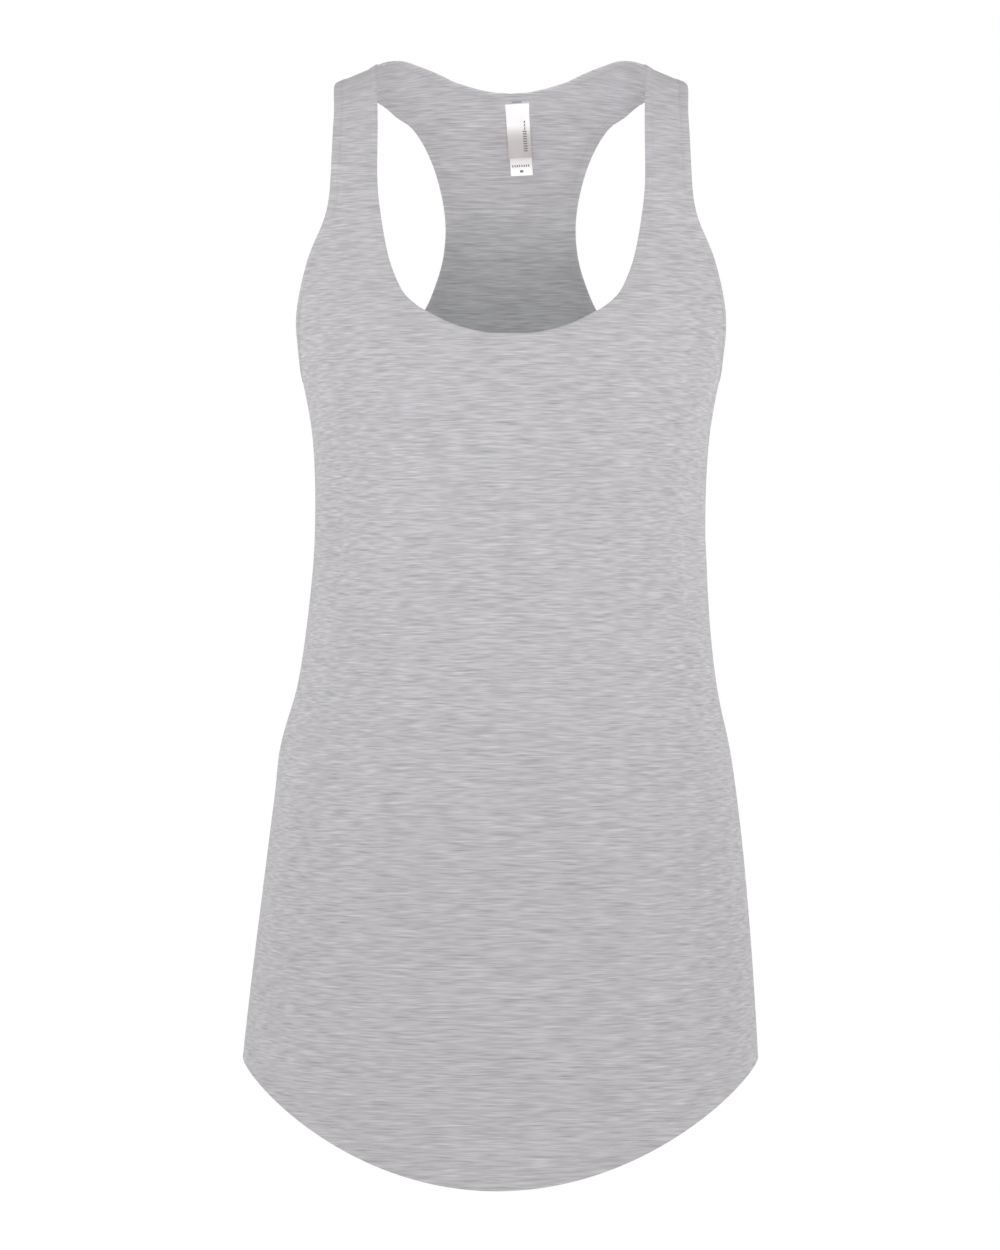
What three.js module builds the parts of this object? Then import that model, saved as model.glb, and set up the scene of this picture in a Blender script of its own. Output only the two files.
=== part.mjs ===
// Racerback tank top in heather jersey, filled out and hollow, as it is worn on a general figure.
//
// Millimetres, +Z up. The front faces -Y and the wearer's left is +X. The origin lies midway
// between the shoulders, at the height where the undersides of the straps are carried.
//
// Every piece is a thin wall that follows one smooth figure. A place on the figure is given by
//   girth: how far it lies to the side of the centre line, measured round the figure, and
//   reach: how far it lies from the top of the shoulder, minus down the front, plus down the back.
// Edges are drawn as curves in that plane, as a cutter draws them on the flat cloth.

import * as THREE from 'three';

// Walls and seams
const PANEL_WALL = 1.2;
const BINDING_WALL = 1.8;
const LABEL_WALL = 1;
const SEAM_GAP = 0.34;
const BINDING_WIDTH = 6;

// The figure: girth goes with the angle from the centre line, 90 degrees at the side seam
const GIRTH_RADIUS = 150;
const SIDE_GIRTH = GIRTH_RADIUS * Math.PI / 2;
const FRONT_SHOULDER = 62;
const BACK_SHOULDER = 95;
const FRONT_SQUARE = 0.25;
const BACK_SQUARE = 0.2;

// The shoulder line falls away from a peak on the centre line, with a rounded top. It rises by
// a small bell where the neck edge passes over the shoulder.
const RIDGE_PEAK = 43.4;
const RIDGE_SLOPE = 0.43;
const RIDGE_ROUND = 25;
const RIDGE_BELL = { height: 2, out: 79.5, width: 5.5 };

// Hem: a shirt-tail that hangs lower at the centre than at the side seams
const HEM_SIDE = -617.4;
const HEM_DROP = 69.8;

// Sections of the figure: half width, depth of the front and back, and the body's sway sideways
const SECTIONS = [
  { z: 60, half: 150, front: 46, back: 70, sway: 0 },
  { z: 0, half: 150, front: 58, back: 84, sway: 0 },
  { z: -60, half: 148.5, front: 74, back: 93, sway: 0 },
  { z: -110, half: 141.8, front: 92, back: 98, sway: 0 },
  { z: -155, half: 138.6, front: 108, back: 100, sway: 0 },
  { z: -185, half: 132.2, front: 113, back: 99, sway: 0 },
  { z: -230, half: 124.4, front: 112, back: 95, sway: 0 },
  { z: -290, half: 122.6, front: 107, back: 91, sway: -0.6 },
  { z: -340, half: 126, front: 105, back: 91, sway: -1.5 },
  { z: -385, half: 131.8, front: 107, back: 94, sway: -2.4 },
  { z: -430, half: 141.6, front: 110, back: 98, sway: -3.1 },
  { z: -505, half: 151.2, front: 114, back: 103, sway: -3.8 },
  { z: -617, half: 161.8, front: 119, back: 110, sway: -6.6 },
  { z: -700, half: 166, front: 122, back: 114, sway: -9 },
];

// Half of the neck edge, from the centre front over the shoulder to the centre back.
// turn: degrees from the centre line; fall: height lost below the shoulder line.
const NECK_EDGE = [
  { side: 'front', turn: 0, fall: 202 },
  { side: 'front', turn: 5, fall: 200.3 },
  { side: 'front', turn: 10, fall: 194.8 },
  { side: 'front', turn: 15, fall: 186.8 },
  { side: 'front', turn: 20, fall: 176.4 },
  { side: 'front', turn: 24.8, fall: 165.2 },
  { side: 'front', turn: 28.9, fall: 151 },
  { side: 'front', turn: 32.4, fall: 127.5 },
  { side: 'front', turn: 34, fall: 90.7 },
  { side: 'front', turn: 33.4, fall: 45.6 },
  { side: 'front', turn: 33.8, fall: 0 },
  { side: 'back', turn: 28.2, fall: 0.8 },
  { side: 'back', turn: 22.7, fall: 6.9 },
  { side: 'back', turn: 15.1, fall: 19.8 },
  { side: 'back', turn: 11.4, fall: 25.8 },
  { side: 'back', turn: 7.7, fall: 30.8 },
  { side: 'back', turn: 3.9, fall: 34.5 },
  { side: 'back', turn: 0, fall: 36 },
];
const NECK_ROWS = { centreFront: 0, strapRoot: 6, shoulder: 10, stemTop: 14, centreBack: 17 };

// An armhole edge, from the side seam up the front, over the shoulder and down the racer back
const ARM_EDGE = [
  { side: 'front', turn: 90, fall: 165.5 },
  { side: 'front', turn: 84, fall: 159.5 },
  { side: 'front', turn: 79.3, fall: 150.2 },
  { side: 'front', turn: 75, fall: 137.2 },
  { side: 'front', turn: 70.5, fall: 124.6 },
  { side: 'front', turn: 62.5, fall: 103.4 },
  { side: 'front', turn: 53, fall: 85 },
  { side: 'front', turn: 49.1, fall: 63.4 },
  { side: 'front', turn: 47.4, fall: 26.4 },
  { side: 'front', turn: 46.5, fall: 0 },
  { side: 'back', turn: 33.2, fall: 21.4 },
  { side: 'back', turn: 24.8, fall: 40.8 },
  { side: 'back', turn: 19.05, fall: 72.8 },
  { side: 'back', turn: 17, fall: 109 },
  { side: 'back', turn: 19.85, fall: 140.5 },
  { side: 'back', turn: 27.5, fall: 164 },
  { side: 'back', turn: 46, fall: 173.5 },
  { side: 'back', turn: 62, fall: 172.5 },
  { side: 'back', turn: 78, fall: 169.5 },
  { side: 'back', turn: 90, fall: 165.5 },
];
const ARM_ROWS = { sideFront: 0, strapRoot: 4, shoulder: 9, stemTop: 12, stemRoot: 15, sideBack: 19 };

// Facets along each stretch, divisions of a curve between two rows of its table, and the half
// step over which slopes of the figure are taken
const STEPS = { hemToRoot: 18, neckFront: 5, strapWidth: 5, armFront: 5, strapFront: 9,
  strapBack: 6, stemSide: 5, stemWidth: 5, armBack: 8 };
const STEPS_PER_ROW = 20;
const NUDGE = 0.5;

// Soft folds: round is degrees from the centre front, plus to the wearer's left, at the upper
// end, and lean is how far it has turned at the lower end. A trough has a positive depth.
const FOLDS = [
  { round: -74, lean: 1, top: -225, bottom: -330, depth: -2, width: 7 },
  { round: -62, lean: 2, top: -235, bottom: -345, depth: 2, width: 6 },
  { round: 73, lean: 7, top: -255, bottom: -350, depth: -2, width: 6 },
  { round: 63, lean: 4, top: -215, bottom: -370, depth: 2.5, width: 7 },
  { round: -82, lean: -2, top: -375, bottom: -460, depth: -2, width: 7 },
  { round: 160, lean: -4, top: -215, bottom: -470, depth: 6, width: 10 },
  { round: 192, lean: 5, top: -240, bottom: -500, depth: 5, width: 9 },
  { round: 178, lean: 1, top: -260, bottom: -430, depth: -3, width: 8 },
  { round: 138, lean: -6, top: -430, bottom: -690, depth: 4, width: 9 },
  { round: 224, lean: 5, top: -450, bottom: -700, depth: 4.5, width: 9 },
];

// Labels inside the back neck hang from the binding's seam, shifted to the wearer's left and
// leaning. clearance is from the panel's face to the label's middle, and lift is what the loose
// lower end adds to it. The size label lies behind the main one and is longer.
const LABEL_TOP_FALL = 41;
const LABEL_TOP_SHIFT = 4.2;
const LABEL_LEAN = 0.075;
const LABELS = [
  { name: 'main_label', colour: 0xe9e5e3, width: 15.5, length: 32, clearance: 2.35, lift: 3 },
  { name: 'size_label', colour: 0xf2f0ee, width: 14.5, length: 44.2, clearance: 1.05, lift: 1.4 },
];
const LABEL_STEPS = { across: 4, down: 8 };

const FRONT_COLOUR = 0xc1bfc2;
const BACK_COLOUR = 0xbab8bb;
const BINDING_COLOUR = 0xbfbdc0;
const CLOTH_ROUGHNESS = 0.9;
const SATIN_ROUGHNESS = 0.4;

/** A measure of the figure at a height: a cubic through the table's rows, smooth at each row. */
function measure(name, z) {
  const last = SECTIONS.length - 1;
  const slopeAt = (row) => {
    const above = SECTIONS[Math.max(row - 1, 0)];
    const below = SECTIONS[Math.min(row + 1, last)];
    return (above[name] - below[name]) / (above.z - below.z);
  };
  const below = THREE.MathUtils.clamp(SECTIONS.findIndex((section) => section.z <= z), 1, last);
  const upper = SECTIONS[below - 1];
  const lower = SECTIONS[below];
  const span = upper.z - lower.z;
  const s = THREE.MathUtils.clamp((z - lower.z) / span, 0, 1);
  const start = (1 + 2 * s) * (1 - s) ** 2 * lower[name] + s * (1 - s) ** 2 * span * slopeAt(below);
  const end = (3 - 2 * s) * s ** 2 * upper[name] + (s - 1) * s ** 2 * span * slopeAt(below - 1);
  return start + end;
}

/** Height of the shoulder line at a turn in radians. */
function ridgeHeight(turn) {
  const out = Math.abs(GIRTH_RADIUS * Math.sin(turn));
  const bell = Math.exp(-(((out - RIDGE_BELL.out) / RIDGE_BELL.width) ** 2));
  return RIDGE_PEAK - RIDGE_SLOPE * Math.hypot(out, RIDGE_ROUND) + RIDGE_BELL.height * bell;
}

/** Distance over the figure for a height lost: a quarter round over the shoulder, then straight. */
function reachOf(side, fall) {
  const radius = side === 'front' ? FRONT_SHOULDER : BACK_SHOULDER;
  const sign = side === 'front' ? -1 : 1;
  const beyond = Math.max(fall - radius, 0);
  return sign * (radius * Math.acos(Math.max(1 - fall / radius, 0)) + beyond);
}

/** How far the folds push the wall outward at an angle all round and a height. */
function foldPush(round, z) {
  let push = 0;
  for (const fold of FOLDS) {
    const along = (fold.top - z) / (fold.top - fold.bottom);
    if (along > 0 && along < 1) {
      const offset = (round - fold.round - fold.lean * along + 540) % 360 - 180;
      push -= fold.depth * Math.sin(Math.PI * along) ** 2 * Math.exp(-((offset / fold.width) ** 2));
    }
  }
  return push;
}

/** The figure's place for a girth and reach: even on both sides, or with its sway and folds. */
function place({ x: girth, y: reach }, swayed = true) {
  const front = reach < 0;
  const radius = front ? FRONT_SHOULDER : BACK_SHOULDER;
  const distance = Math.abs(reach);
  const over = Math.min(distance / radius, Math.PI / 2);
  const fall = radius * (1 - Math.cos(over)) + Math.max(distance - radius * Math.PI / 2, 0);
  const turn = girth / GIRTH_RADIUS;
  const z = ridgeHeight(turn) - fall;
  const square = 1 + (front ? FRONT_SQUARE : BACK_SQUARE) * Math.sin(turn) ** 2;
  const depth = measure(front ? 'front' : 'back', z) * square * Math.cos(turn) * Math.sin(over);
  const point = new THREE.Vector3(measure('half', z) * Math.sin(turn), front ? -depth : depth, z);
  if (swayed) {
    const round = THREE.MathUtils.radToDeg(front ? turn : Math.PI - turn);
    const push = foldPush((round + 360) % 360, z);
    point.x += measure('sway', z) + push * Math.sin(turn);
    point.y += push * Math.cos(turn) * (front ? -1 : 1);
  }
  return point;
}

/** How the figure's place changes along a step in the girth and reach plane. */
function slope(station, step, swayed) {
  const nudge = step.clone().setLength(NUDGE);
  const ahead = place(station.clone().add(nudge), swayed);
  const behind = place(station.clone().sub(nudge), swayed);
  return ahead.sub(behind).multiplyScalar(step.length() / (2 * NUDGE));
}

/** The outward normal of the figure at a station. */
function outward(station) {
  const round = slope(station, new THREE.Vector2(1, 0), true);
  const up = slope(station, new THREE.Vector2(0, station.y < 0 ? 1 : -1), true);
  return (station.y < 0 ? round.cross(up) : up.cross(round)).normalize();
}

/** A smooth curve through a table's rows, in the girth and reach plane. */
function edgeCurve(rows) {
  const points = rows.map(({ side, turn, fall }) => new THREE.Vector2(
    GIRTH_RADIUS * THREE.MathUtils.degToRad(turn), reachOf(side, fall)));
  const curve = new THREE.SplineCurve(points);
  curve.arcLengthDivisions = STEPS_PER_ROW * (points.length - 1);
  return curve;
}

/** Stations from one row of a curve's table to another, spaced evenly along it. */
function stations(curve, fromRow, toRow, steps) {
  const lengths = curve.getLengths();
  const total = lengths.at(-1);
  const from = lengths[STEPS_PER_ROW * fromRow] / total;
  const to = lengths[STEPS_PER_ROW * toRow] / total;
  return Array.from({ length: steps + 1 },
    (_, step) => curve.getPointAt(THREE.MathUtils.lerp(from, to, step / steps)));
}

/** Joins stretches that share their end stations into one list. */
function joined(...stretches) {
  return stretches.flatMap((stretch, index) => (index ? stretch.slice(1) : stretch));
}

/**
 * Moves an edge into the cloth by a width measured on the figure. The cloth lies to the right
 * (1) or left (-1) of the edge. Both ends meet a line that the garment is even about, so the
 * station beyond each end is the mirror of the one before it. The station on the shoulder seam
 * slides along that seam, so that the seam stays on the shoulder line.
 */
function inset(edge, width, cloth, shoulder) {
  const mirrored = (station, line) => new THREE.Vector2(2 * line.x - station.x, station.y);
  return edge.map((station, index) => {
    const before = edge[index - 1] ?? mirrored(edge[1], station);
    const after = edge[index + 1] ?? mirrored(edge[index - 1], station);
    const along = after.clone().sub(before);
    const across = new THREE.Vector2(along.y, -along.x).multiplyScalar(cloth);
    const alongSpace = slope(station, along, false);
    const skew = slope(station, across, false).dot(alongSpace) / alongSpace.lengthSq();
    across.addScaledVector(along, -skew);
    const acrossSpace = slope(station, across, false);
    if (index === shoulder) {
      const seam = new THREE.Vector2(Math.sign(across.x), 0);
      const gained = slope(station, seam, false).dot(acrossSpace.normalize());
      return station.clone().addScaledVector(seam, width / gained);
    }
    return station.clone().addScaledVector(across, width / acrossSpace.length());
  });
}

/** Stations on a straight line between two, both ends included. */
function straight(start, end, steps) {
  return Array.from({ length: steps + 1 }, (_, step) => start.clone().lerp(end, step / steps));
}

/** Fills the patch between four edges, as the blend of both pairs less that of the corners. */
function patch(bottom, top, left, right) {
  const rows = left.length - 1;
  const columns = bottom.length - 1;
  return left.map((_, row) => bottom.map((__, column) => {
    const u = column / columns;
    const v = row / rows;
    const upright = bottom[column].clone().lerp(top[column], v);
    const level = left[row].clone().lerp(right[row], u);
    const corners = bottom[0].clone().lerp(bottom[columns], u)
      .lerp(top[0].clone().lerp(top[columns], u), v);
    return upright.add(level).sub(corners);
  }));
}

/** Columns of constant girth on the front or back, from the hem up to a line of stations. */
function skirt(line, side) {
  return Array.from({ length: STEPS.hemToRoot + 1 }, (_, row) => line.map((station) => {
    const turn = station.x / GIRTH_RADIUS;
    const hem = HEM_SIDE - HEM_DROP * Math.cos(turn) ** 2;
    const start = reachOf(side, ridgeHeight(turn) - hem);
    const reach = THREE.MathUtils.lerp(start, station.y, row / STEPS.hemToRoot);
    return new THREE.Vector2(station.x, reach);
  }));
}

/** A grid of stations with empty places, its right half given and its left half mirrored. */
class Grid {
  constructor(rows, halfColumns) {
    this.half = halfColumns;
    this.cells = Array.from({ length: rows + 1 }, () => Array(2 * halfColumns + 1).fill(null));
  }

  /** Lays a block of stations with its first corner at a row and a column from the centre. */
  lay(block, atRow, atColumn) {
    block.forEach((line, row) => line.forEach((station, column) => {
      const fromCentre = atColumn + column;
      this.cells[atRow + row][this.half + fromCentre] = station;
      this.cells[atRow + row][this.half - fromCentre] = new THREE.Vector2(-station.x, station.y);
    }));
    return this;
  }
}

/**
 * A wall of even thickness on a grid of stations: an outer and an inner skin, and a rim on
 * every edge that only one cell has. A looped grid closes from its last column to its first.
 */
function wall(cells, thickness, { looped = false, lift = () => 0 } = {}) {
  const positions = [];
  const order = new Map();
  const columns = cells[0].length;
  cells.forEach((line, row) => line.forEach((station, column) => {
    if (station) {
      const normal = outward(station);
      const middle = place(station).addScaledVector(normal, -lift(row));
      order.set(row * columns + column, positions.length / 6);
      positions.push(...middle.clone().addScaledVector(normal, thickness / 2).toArray());
      positions.push(...middle.clone().addScaledVector(normal, -thickness / 2).toArray());
    }
  }));
  const skins = [];
  const edges = new Set();
  const facing = cellFacing(cells);
  for (let row = 0; row < cells.length - 1; row += 1) {
    for (let column = 0; column < (looped ? columns : columns - 1); column += 1) {
      const next = (column + 1) % columns;
      const corners = [[row, column], [row, next], [row + 1, next], [row + 1, column]]
        .map(([atRow, atColumn]) => order.get(atRow * columns + atColumn));
      if (corners.every((corner) => corner !== undefined)) {
        const ring = facing < 0 ? corners.reverse() : corners;
        skins.push(...skinQuad(ring));
        ring.forEach((start, index) => edges.add(`${start},${ring[(index + 1) % 4]}`));
      }
    }
  }
  const rims = [];
  for (const edge of edges) {
    const [start, end] = edge.split(',').map(Number);
    if (!edges.has(`${end},${start}`)) {
      rims.push(2 * end, 2 * start, 2 * start + 1, 2 * end, 2 * start + 1, 2 * end + 1);
    }
  }
  const geometry = new THREE.BufferGeometry();
  geometry.setAttribute('position', new THREE.Float32BufferAttribute(positions, 3));
  geometry.setIndex([...skins, ...rims]);
  geometry.computeVertexNormals();
  return geometry;
}

/** Both skins of one cell: the outer one as the ring runs, the inner one the other way round. */
function skinQuad([a, b, c, d]) {
  const outer = [a, b, c, a, c, d].map((corner) => 2 * corner);
  const inner = [a, c, b, a, d, c].map((corner) => 2 * corner + 1);
  return [...outer, ...inner];
}

/** Whether a grid's cells run anticlockwise (1) or clockwise (-1) as seen from outside. */
function cellFacing(cells) {
  const [lower, upper] = cells;
  const column = Math.floor(lower.length / 2);
  const corner = place(lower[column]);
  const across = place(lower[column + 1]).sub(corner);
  const up = place(upper[column]).sub(corner);
  return Math.sign(across.cross(up).dot(outward(lower[column])));
}

/** A mesh with its name and its cloth, matt unless it says otherwise. */
function piece(name, geometry, color, roughness = CLOTH_ROUGHNESS) {
  const material = new THREE.MeshStandardMaterial({ color, roughness, metalness: 0 });
  const mesh = new THREE.Mesh(geometry, material);
  mesh.name = name;
  return mesh;
}

/** The neck and armhole edges: finished lines, and where the bindings and panels end. */
function cutEdges() {
  const neck = edgeCurve(NECK_EDGE);
  const arm = edgeCurve(ARM_EDGE);
  const neckLine = joined(
    stations(neck, NECK_ROWS.centreFront, NECK_ROWS.strapRoot, STEPS.neckFront),
    stations(neck, NECK_ROWS.strapRoot, NECK_ROWS.shoulder, STEPS.strapFront),
    stations(neck, NECK_ROWS.shoulder, NECK_ROWS.stemTop, STEPS.strapBack),
    stations(neck, NECK_ROWS.stemTop, NECK_ROWS.centreBack, STEPS.stemWidth),
  );
  const armLine = joined(
    stations(arm, ARM_ROWS.sideFront, ARM_ROWS.strapRoot, STEPS.armFront),
    stations(arm, ARM_ROWS.strapRoot, ARM_ROWS.shoulder, STEPS.strapFront),
    stations(arm, ARM_ROWS.shoulder, ARM_ROWS.stemTop, STEPS.strapBack),
    stations(arm, ARM_ROWS.stemTop, ARM_ROWS.stemRoot, STEPS.stemSide),
    stations(arm, ARM_ROWS.stemRoot, ARM_ROWS.sideBack, STEPS.armBack),
  );
  const neckShoulder = STEPS.neckFront + STEPS.strapFront;
  const armShoulder = STEPS.armFront + STEPS.strapFront;
  return {
    neckLine,
    armLine,
    neckSeam: inset(neckLine, BINDING_WIDTH, 1, neckShoulder),
    armSeam: inset(armLine, BINDING_WIDTH, -1, armShoulder),
    neckPanel: inset(neckLine, BINDING_WIDTH + SEAM_GAP, 1, neckShoulder),
    armPanel: inset(armLine, BINDING_WIDTH + SEAM_GAP, -1, armShoulder),
  };
}

/** Draws the stations of a line back from a seam by half of the seam's gap. */
function clearOfSide(line) {
  return line.map((station) => new THREE.Vector2(
    Math.min(station.x, SIDE_GIRTH - SEAM_GAP / 2), station.y));
}

/** Puts a strap's last station just short of the shoulder seam, before it or behind it. */
function clearOfShoulder(station, sign) {
  return new THREE.Vector2(station.x, sign * SEAM_GAP / 2);
}

/** The front with both front straps. */
function frontCells({ neckPanel, armPanel }) {
  const { neckFront, strapWidth, armFront, strapFront } = STEPS;
  const neckSide = neckPanel.slice(neckFront, neckFront + strapFront + 1);
  const armSide = armPanel.slice(armFront, armFront + strapFront + 1);
  neckSide[strapFront] = clearOfShoulder(neckSide[strapFront], -1);
  armSide[strapFront] = clearOfShoulder(armSide[strapFront], -1);
  const strap = neckSide.map((station, row) => straight(station, armSide[row], strapWidth));
  const underarm = clearOfSide(armPanel.slice(0, armFront + 1).reverse());
  const line = joined(neckPanel.slice(0, neckFront + 1), strap[0], underarm);
  return new Grid(STEPS.hemToRoot + strapFront, line.length - 1)
    .lay(skirt(line, 'front'), 0, 0)
    .lay(strap, STEPS.hemToRoot, neckFront).cells;
}

/** The racer back: a skirt, a narrow stem between the shoulder blades, and both back straps. */
function backCells({ neckPanel, armPanel }) {
  const { neckFront, strapWidth, armFront, strapFront, strapBack, stemSide, stemWidth } = STEPS;
  const neckStart = neckFront + strapFront;
  const armStart = armFront + strapFront;
  const neckSide = neckPanel.slice(neckStart, neckStart + strapBack + 1).reverse();
  const armSide = armPanel.slice(armStart, armStart + strapBack + 1).reverse();
  neckSide[strapBack] = clearOfShoulder(neckSide[strapBack], 1);
  armSide[strapBack] = clearOfShoulder(armSide[strapBack], 1);
  const strap = Array.from({ length: strapWidth + 1 }, (_, row) => armSide
    .map((station, column) => station.clone().lerp(neckSide[column], row / strapWidth)));
  const stemEdge = armPanel.slice(armStart + strapBack, armStart + strapBack + stemSide + 1).reverse();
  const root = stemEdge[0];
  const centreRoot = new THREE.Vector2(0, root.y);
  const stemTop = neckPanel.slice(neckStart + strapBack).reverse();
  const stemRight = joined(stemEdge, strap.map((line) => line[0]));
  const stem = patch(straight(centreRoot, root, stemWidth), stemTop,
    straight(centreRoot, stemTop[0], stemSide + strapWidth), stemRight);
  const underarm = clearOfSide(armPanel.slice(armStart + strapBack + stemSide));
  const line = joined(stem[0], underarm);
  return new Grid(STEPS.hemToRoot + stemSide + strapWidth, line.length - 1)
    .lay(skirt(line, 'back'), 0, 0)
    .lay(stem, STEPS.hemToRoot, 0)
    .lay(strap, STEPS.hemToRoot + stemSide, stemWidth).cells;
}

/** Two lines of stations round the whole neck: the finished edge and the seam. */
function neckBindingCells({ neckLine, neckSeam }) {
  return [neckSeam, neckLine].map((line) => {
    const mirrored = line.slice(1, -1).reverse().map(({ x, y }) => new THREE.Vector2(-x, y));
    return [...line, ...mirrored];
  });
}

/** Two lines of stations round one armhole, on the wearer's left (1) or right (-1). */
function armBindingCells({ armLine, armSeam }, side) {
  return [armSeam, armLine].map((line) => line.slice(0, -1)
    .map(({ x, y }) => new THREE.Vector2(side * x, y)));
}

/** A label's stations: a strip down the inside of the back, slightly out of true. */
function labelCells({ width, length }) {
  const { across, down } = LABEL_STEPS;
  return Array.from({ length: down + 1 }, (_, row) => {
    const fall = length * (1 - row / down);
    return Array.from({ length: across + 1 }, (__, column) => {
      const beside = width * (column / across - 0.5);
      const girth = LABEL_TOP_SHIFT + LABEL_LEAN * fall + beside;
      const height = ridgeHeight(LABEL_TOP_SHIFT / GIRTH_RADIUS) - LABEL_TOP_FALL - fall
        + LABEL_LEAN * beside;
      return new THREE.Vector2(girth, reachOf('back', ridgeHeight(girth / GIRTH_RADIUS) - height));
    });
  });
}

/** A label hangs clear of the panel's inner face, further at its loose lower end. */
function labelGeometry(label) {
  const nearest = PANEL_WALL / 2 + label.clearance;
  const lift = (row) => nearest + label.lift * (1 - row / LABEL_STEPS.down) ** 2;
  return wall(labelCells(label), LABEL_WALL, { lift });
}

const edges = cutEdges();
const tank = new THREE.Group();
tank.add(piece('front_panel', wall(frontCells(edges), PANEL_WALL), FRONT_COLOUR));
tank.add(piece('back_panel', wall(backCells(edges), PANEL_WALL), BACK_COLOUR));
tank.add(piece('neck_binding',
  wall(neckBindingCells(edges), BINDING_WALL, { looped: true }), BINDING_COLOUR));
for (const [name, side] of [['left', 1], ['right', -1]]) {
  const binding = wall(armBindingCells(edges, side), BINDING_WALL, { looped: true });
  tank.add(piece(`armhole_binding_${name}`, binding, BINDING_COLOUR));
}
for (const label of LABELS) {
  tank.add(piece(label.name, labelGeometry(label), label.colour, SATIN_ROUGHNESS));
}

export default tank;
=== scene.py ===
"""Racerback tank top in light heather grey jersey, filled out and hollow, as it is worn.

The front faces -Y, the wearer's left is +X and the shoulders carry the straps at the origin.
Shapes are worked out in millimetres and turned into metres where a mesh is made.

Every piece follows one smooth figure. A place on the figure is a station (girth, reach):
girth is how far it lies to the side of the centre line, measured round the figure, and reach
is how far it lies from the top of the shoulder, minus down the front, plus down the back.
"""

from __future__ import annotations

import logging
import math
from collections.abc import Mapping, Sequence
from dataclasses import dataclass, field, fields, replace
from enum import Enum

import bpy
import numpy as np
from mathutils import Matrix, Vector


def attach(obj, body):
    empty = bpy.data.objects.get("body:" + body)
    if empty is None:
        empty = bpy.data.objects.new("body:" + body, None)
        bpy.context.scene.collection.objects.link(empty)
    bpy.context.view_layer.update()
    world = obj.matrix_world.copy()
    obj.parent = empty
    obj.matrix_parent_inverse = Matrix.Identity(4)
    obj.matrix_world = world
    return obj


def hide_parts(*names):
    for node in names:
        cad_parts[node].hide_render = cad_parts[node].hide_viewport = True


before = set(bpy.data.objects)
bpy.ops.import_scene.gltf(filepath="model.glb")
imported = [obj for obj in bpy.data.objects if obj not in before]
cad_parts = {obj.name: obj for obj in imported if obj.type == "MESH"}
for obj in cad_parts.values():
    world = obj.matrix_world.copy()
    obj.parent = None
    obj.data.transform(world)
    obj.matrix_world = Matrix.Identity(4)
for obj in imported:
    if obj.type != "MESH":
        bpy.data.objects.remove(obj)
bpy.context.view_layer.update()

MM = 0.001
BODY = "root"
CHART = "chart"
GRAIN = "grain"
INSIDE = "inside"
# Heights, in metres, over which the painted light and shade ramps run.
PAINTED_SHADING_FROM, PAINTED_SHADING_SPAN = -0.7, 0.75
SHARP_ANGLE = math.radians(60)
WHITE = (1.0, 1.0, 1.0, 1.0)
log = logging.getLogger("tank_top")

Array = np.ndarray
Material = bpy.types.Material
Piece = bpy.types.Object
Socket = bpy.types.NodeSocket
Pair = tuple[float, float]
Triple = tuple[float, float, float]


class Side(Enum):
    """The front or the back of the figure, with the sign that reach has there."""

    FRONT = -1
    BACK = 1


@dataclass(frozen=True)
class Section:
    """One level of the figure: half width, depths of front and back, and sway to the side."""

    z: float
    half: float
    front: float
    back: float
    sway: float


@dataclass(frozen=True)
class EdgeRow:
    """A place on a cut edge: degrees from the centre line, and height lost below the shoulder."""

    side: Side
    turn: float
    fall: float


@dataclass(frozen=True)
class Fold:
    """A soft trough, or a ridge where the depth is below zero.

    round is degrees from the centre front, plus to the wearer's left, at the upper end, and
    lean is how far it has turned at the lower end. width is in degrees too.
    """

    round: float
    lean: float
    top: float
    bottom: float
    depth: float
    width: float


def edge_rows(front: Sequence[Pair], back: Sequence[Pair]) -> tuple[EdgeRow, ...]:
    """A cut edge from (turn, fall) pairs on the front, then on the back."""
    sides = ((Side.FRONT, front), (Side.BACK, back))
    return tuple(EdgeRow(side, *pair) for side, pairs in sides for pair in pairs)


SECTIONS = tuple(
    Section(*sizes)
    for sizes in (
        (-700, 166, 122, 114, -9), (-617, 161.8, 119, 110, -6.6), (-505, 151.2, 114, 103, -3.8),
        (-430, 141.6, 110, 98, -3.1), (-385, 131.8, 107, 94, -2.4), (-340, 126, 105, 91, -1.5),
        (-290, 122.6, 107, 91, -0.6), (-230, 124.4, 112, 95, 0), (-185, 132.2, 113, 99, 0),
        (-155, 138.6, 108, 100, 0), (-110, 141.8, 92, 98, 0), (-60, 148.5, 74, 93, 0),
        (0, 150, 58, 84, 0), (60, 150, 46, 70, 0),
    )
)
FOLDS = tuple(
    Fold(*sizes)
    for sizes in (
        (-74, 1, -225, -330, -2, 7), (-62, 2, -235, -345, 2, 6), (73, 7, -255, -350, -2, 6),
        (63, 4, -215, -370, 2.5, 7), (-82, -2, -375, -460, -2, 7), (160, -4, -215, -470, 6, 10),
        (192, 5, -240, -500, 5, 9), (178, 1, -260, -430, -3, 8), (138, -6, -430, -690, 4, 9),
        (224, 5, -450, -700, 4.5, 9),
    )
)
NECK_EDGE = edge_rows(
    front=(
        (0, 202), (5, 200.3), (10, 194.8), (15, 186.8), (20, 176.4), (24.8, 165.2), (28.9, 151),
        (32.4, 127.5), (34, 90.7), (33.4, 45.6), (33.8, 0),
    ),
    back=((28.2, 0.8), (22.7, 6.9), (15.1, 19.8), (11.4, 25.8), (7.7, 30.8), (3.9, 34.5), (0, 36)),
)
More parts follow.
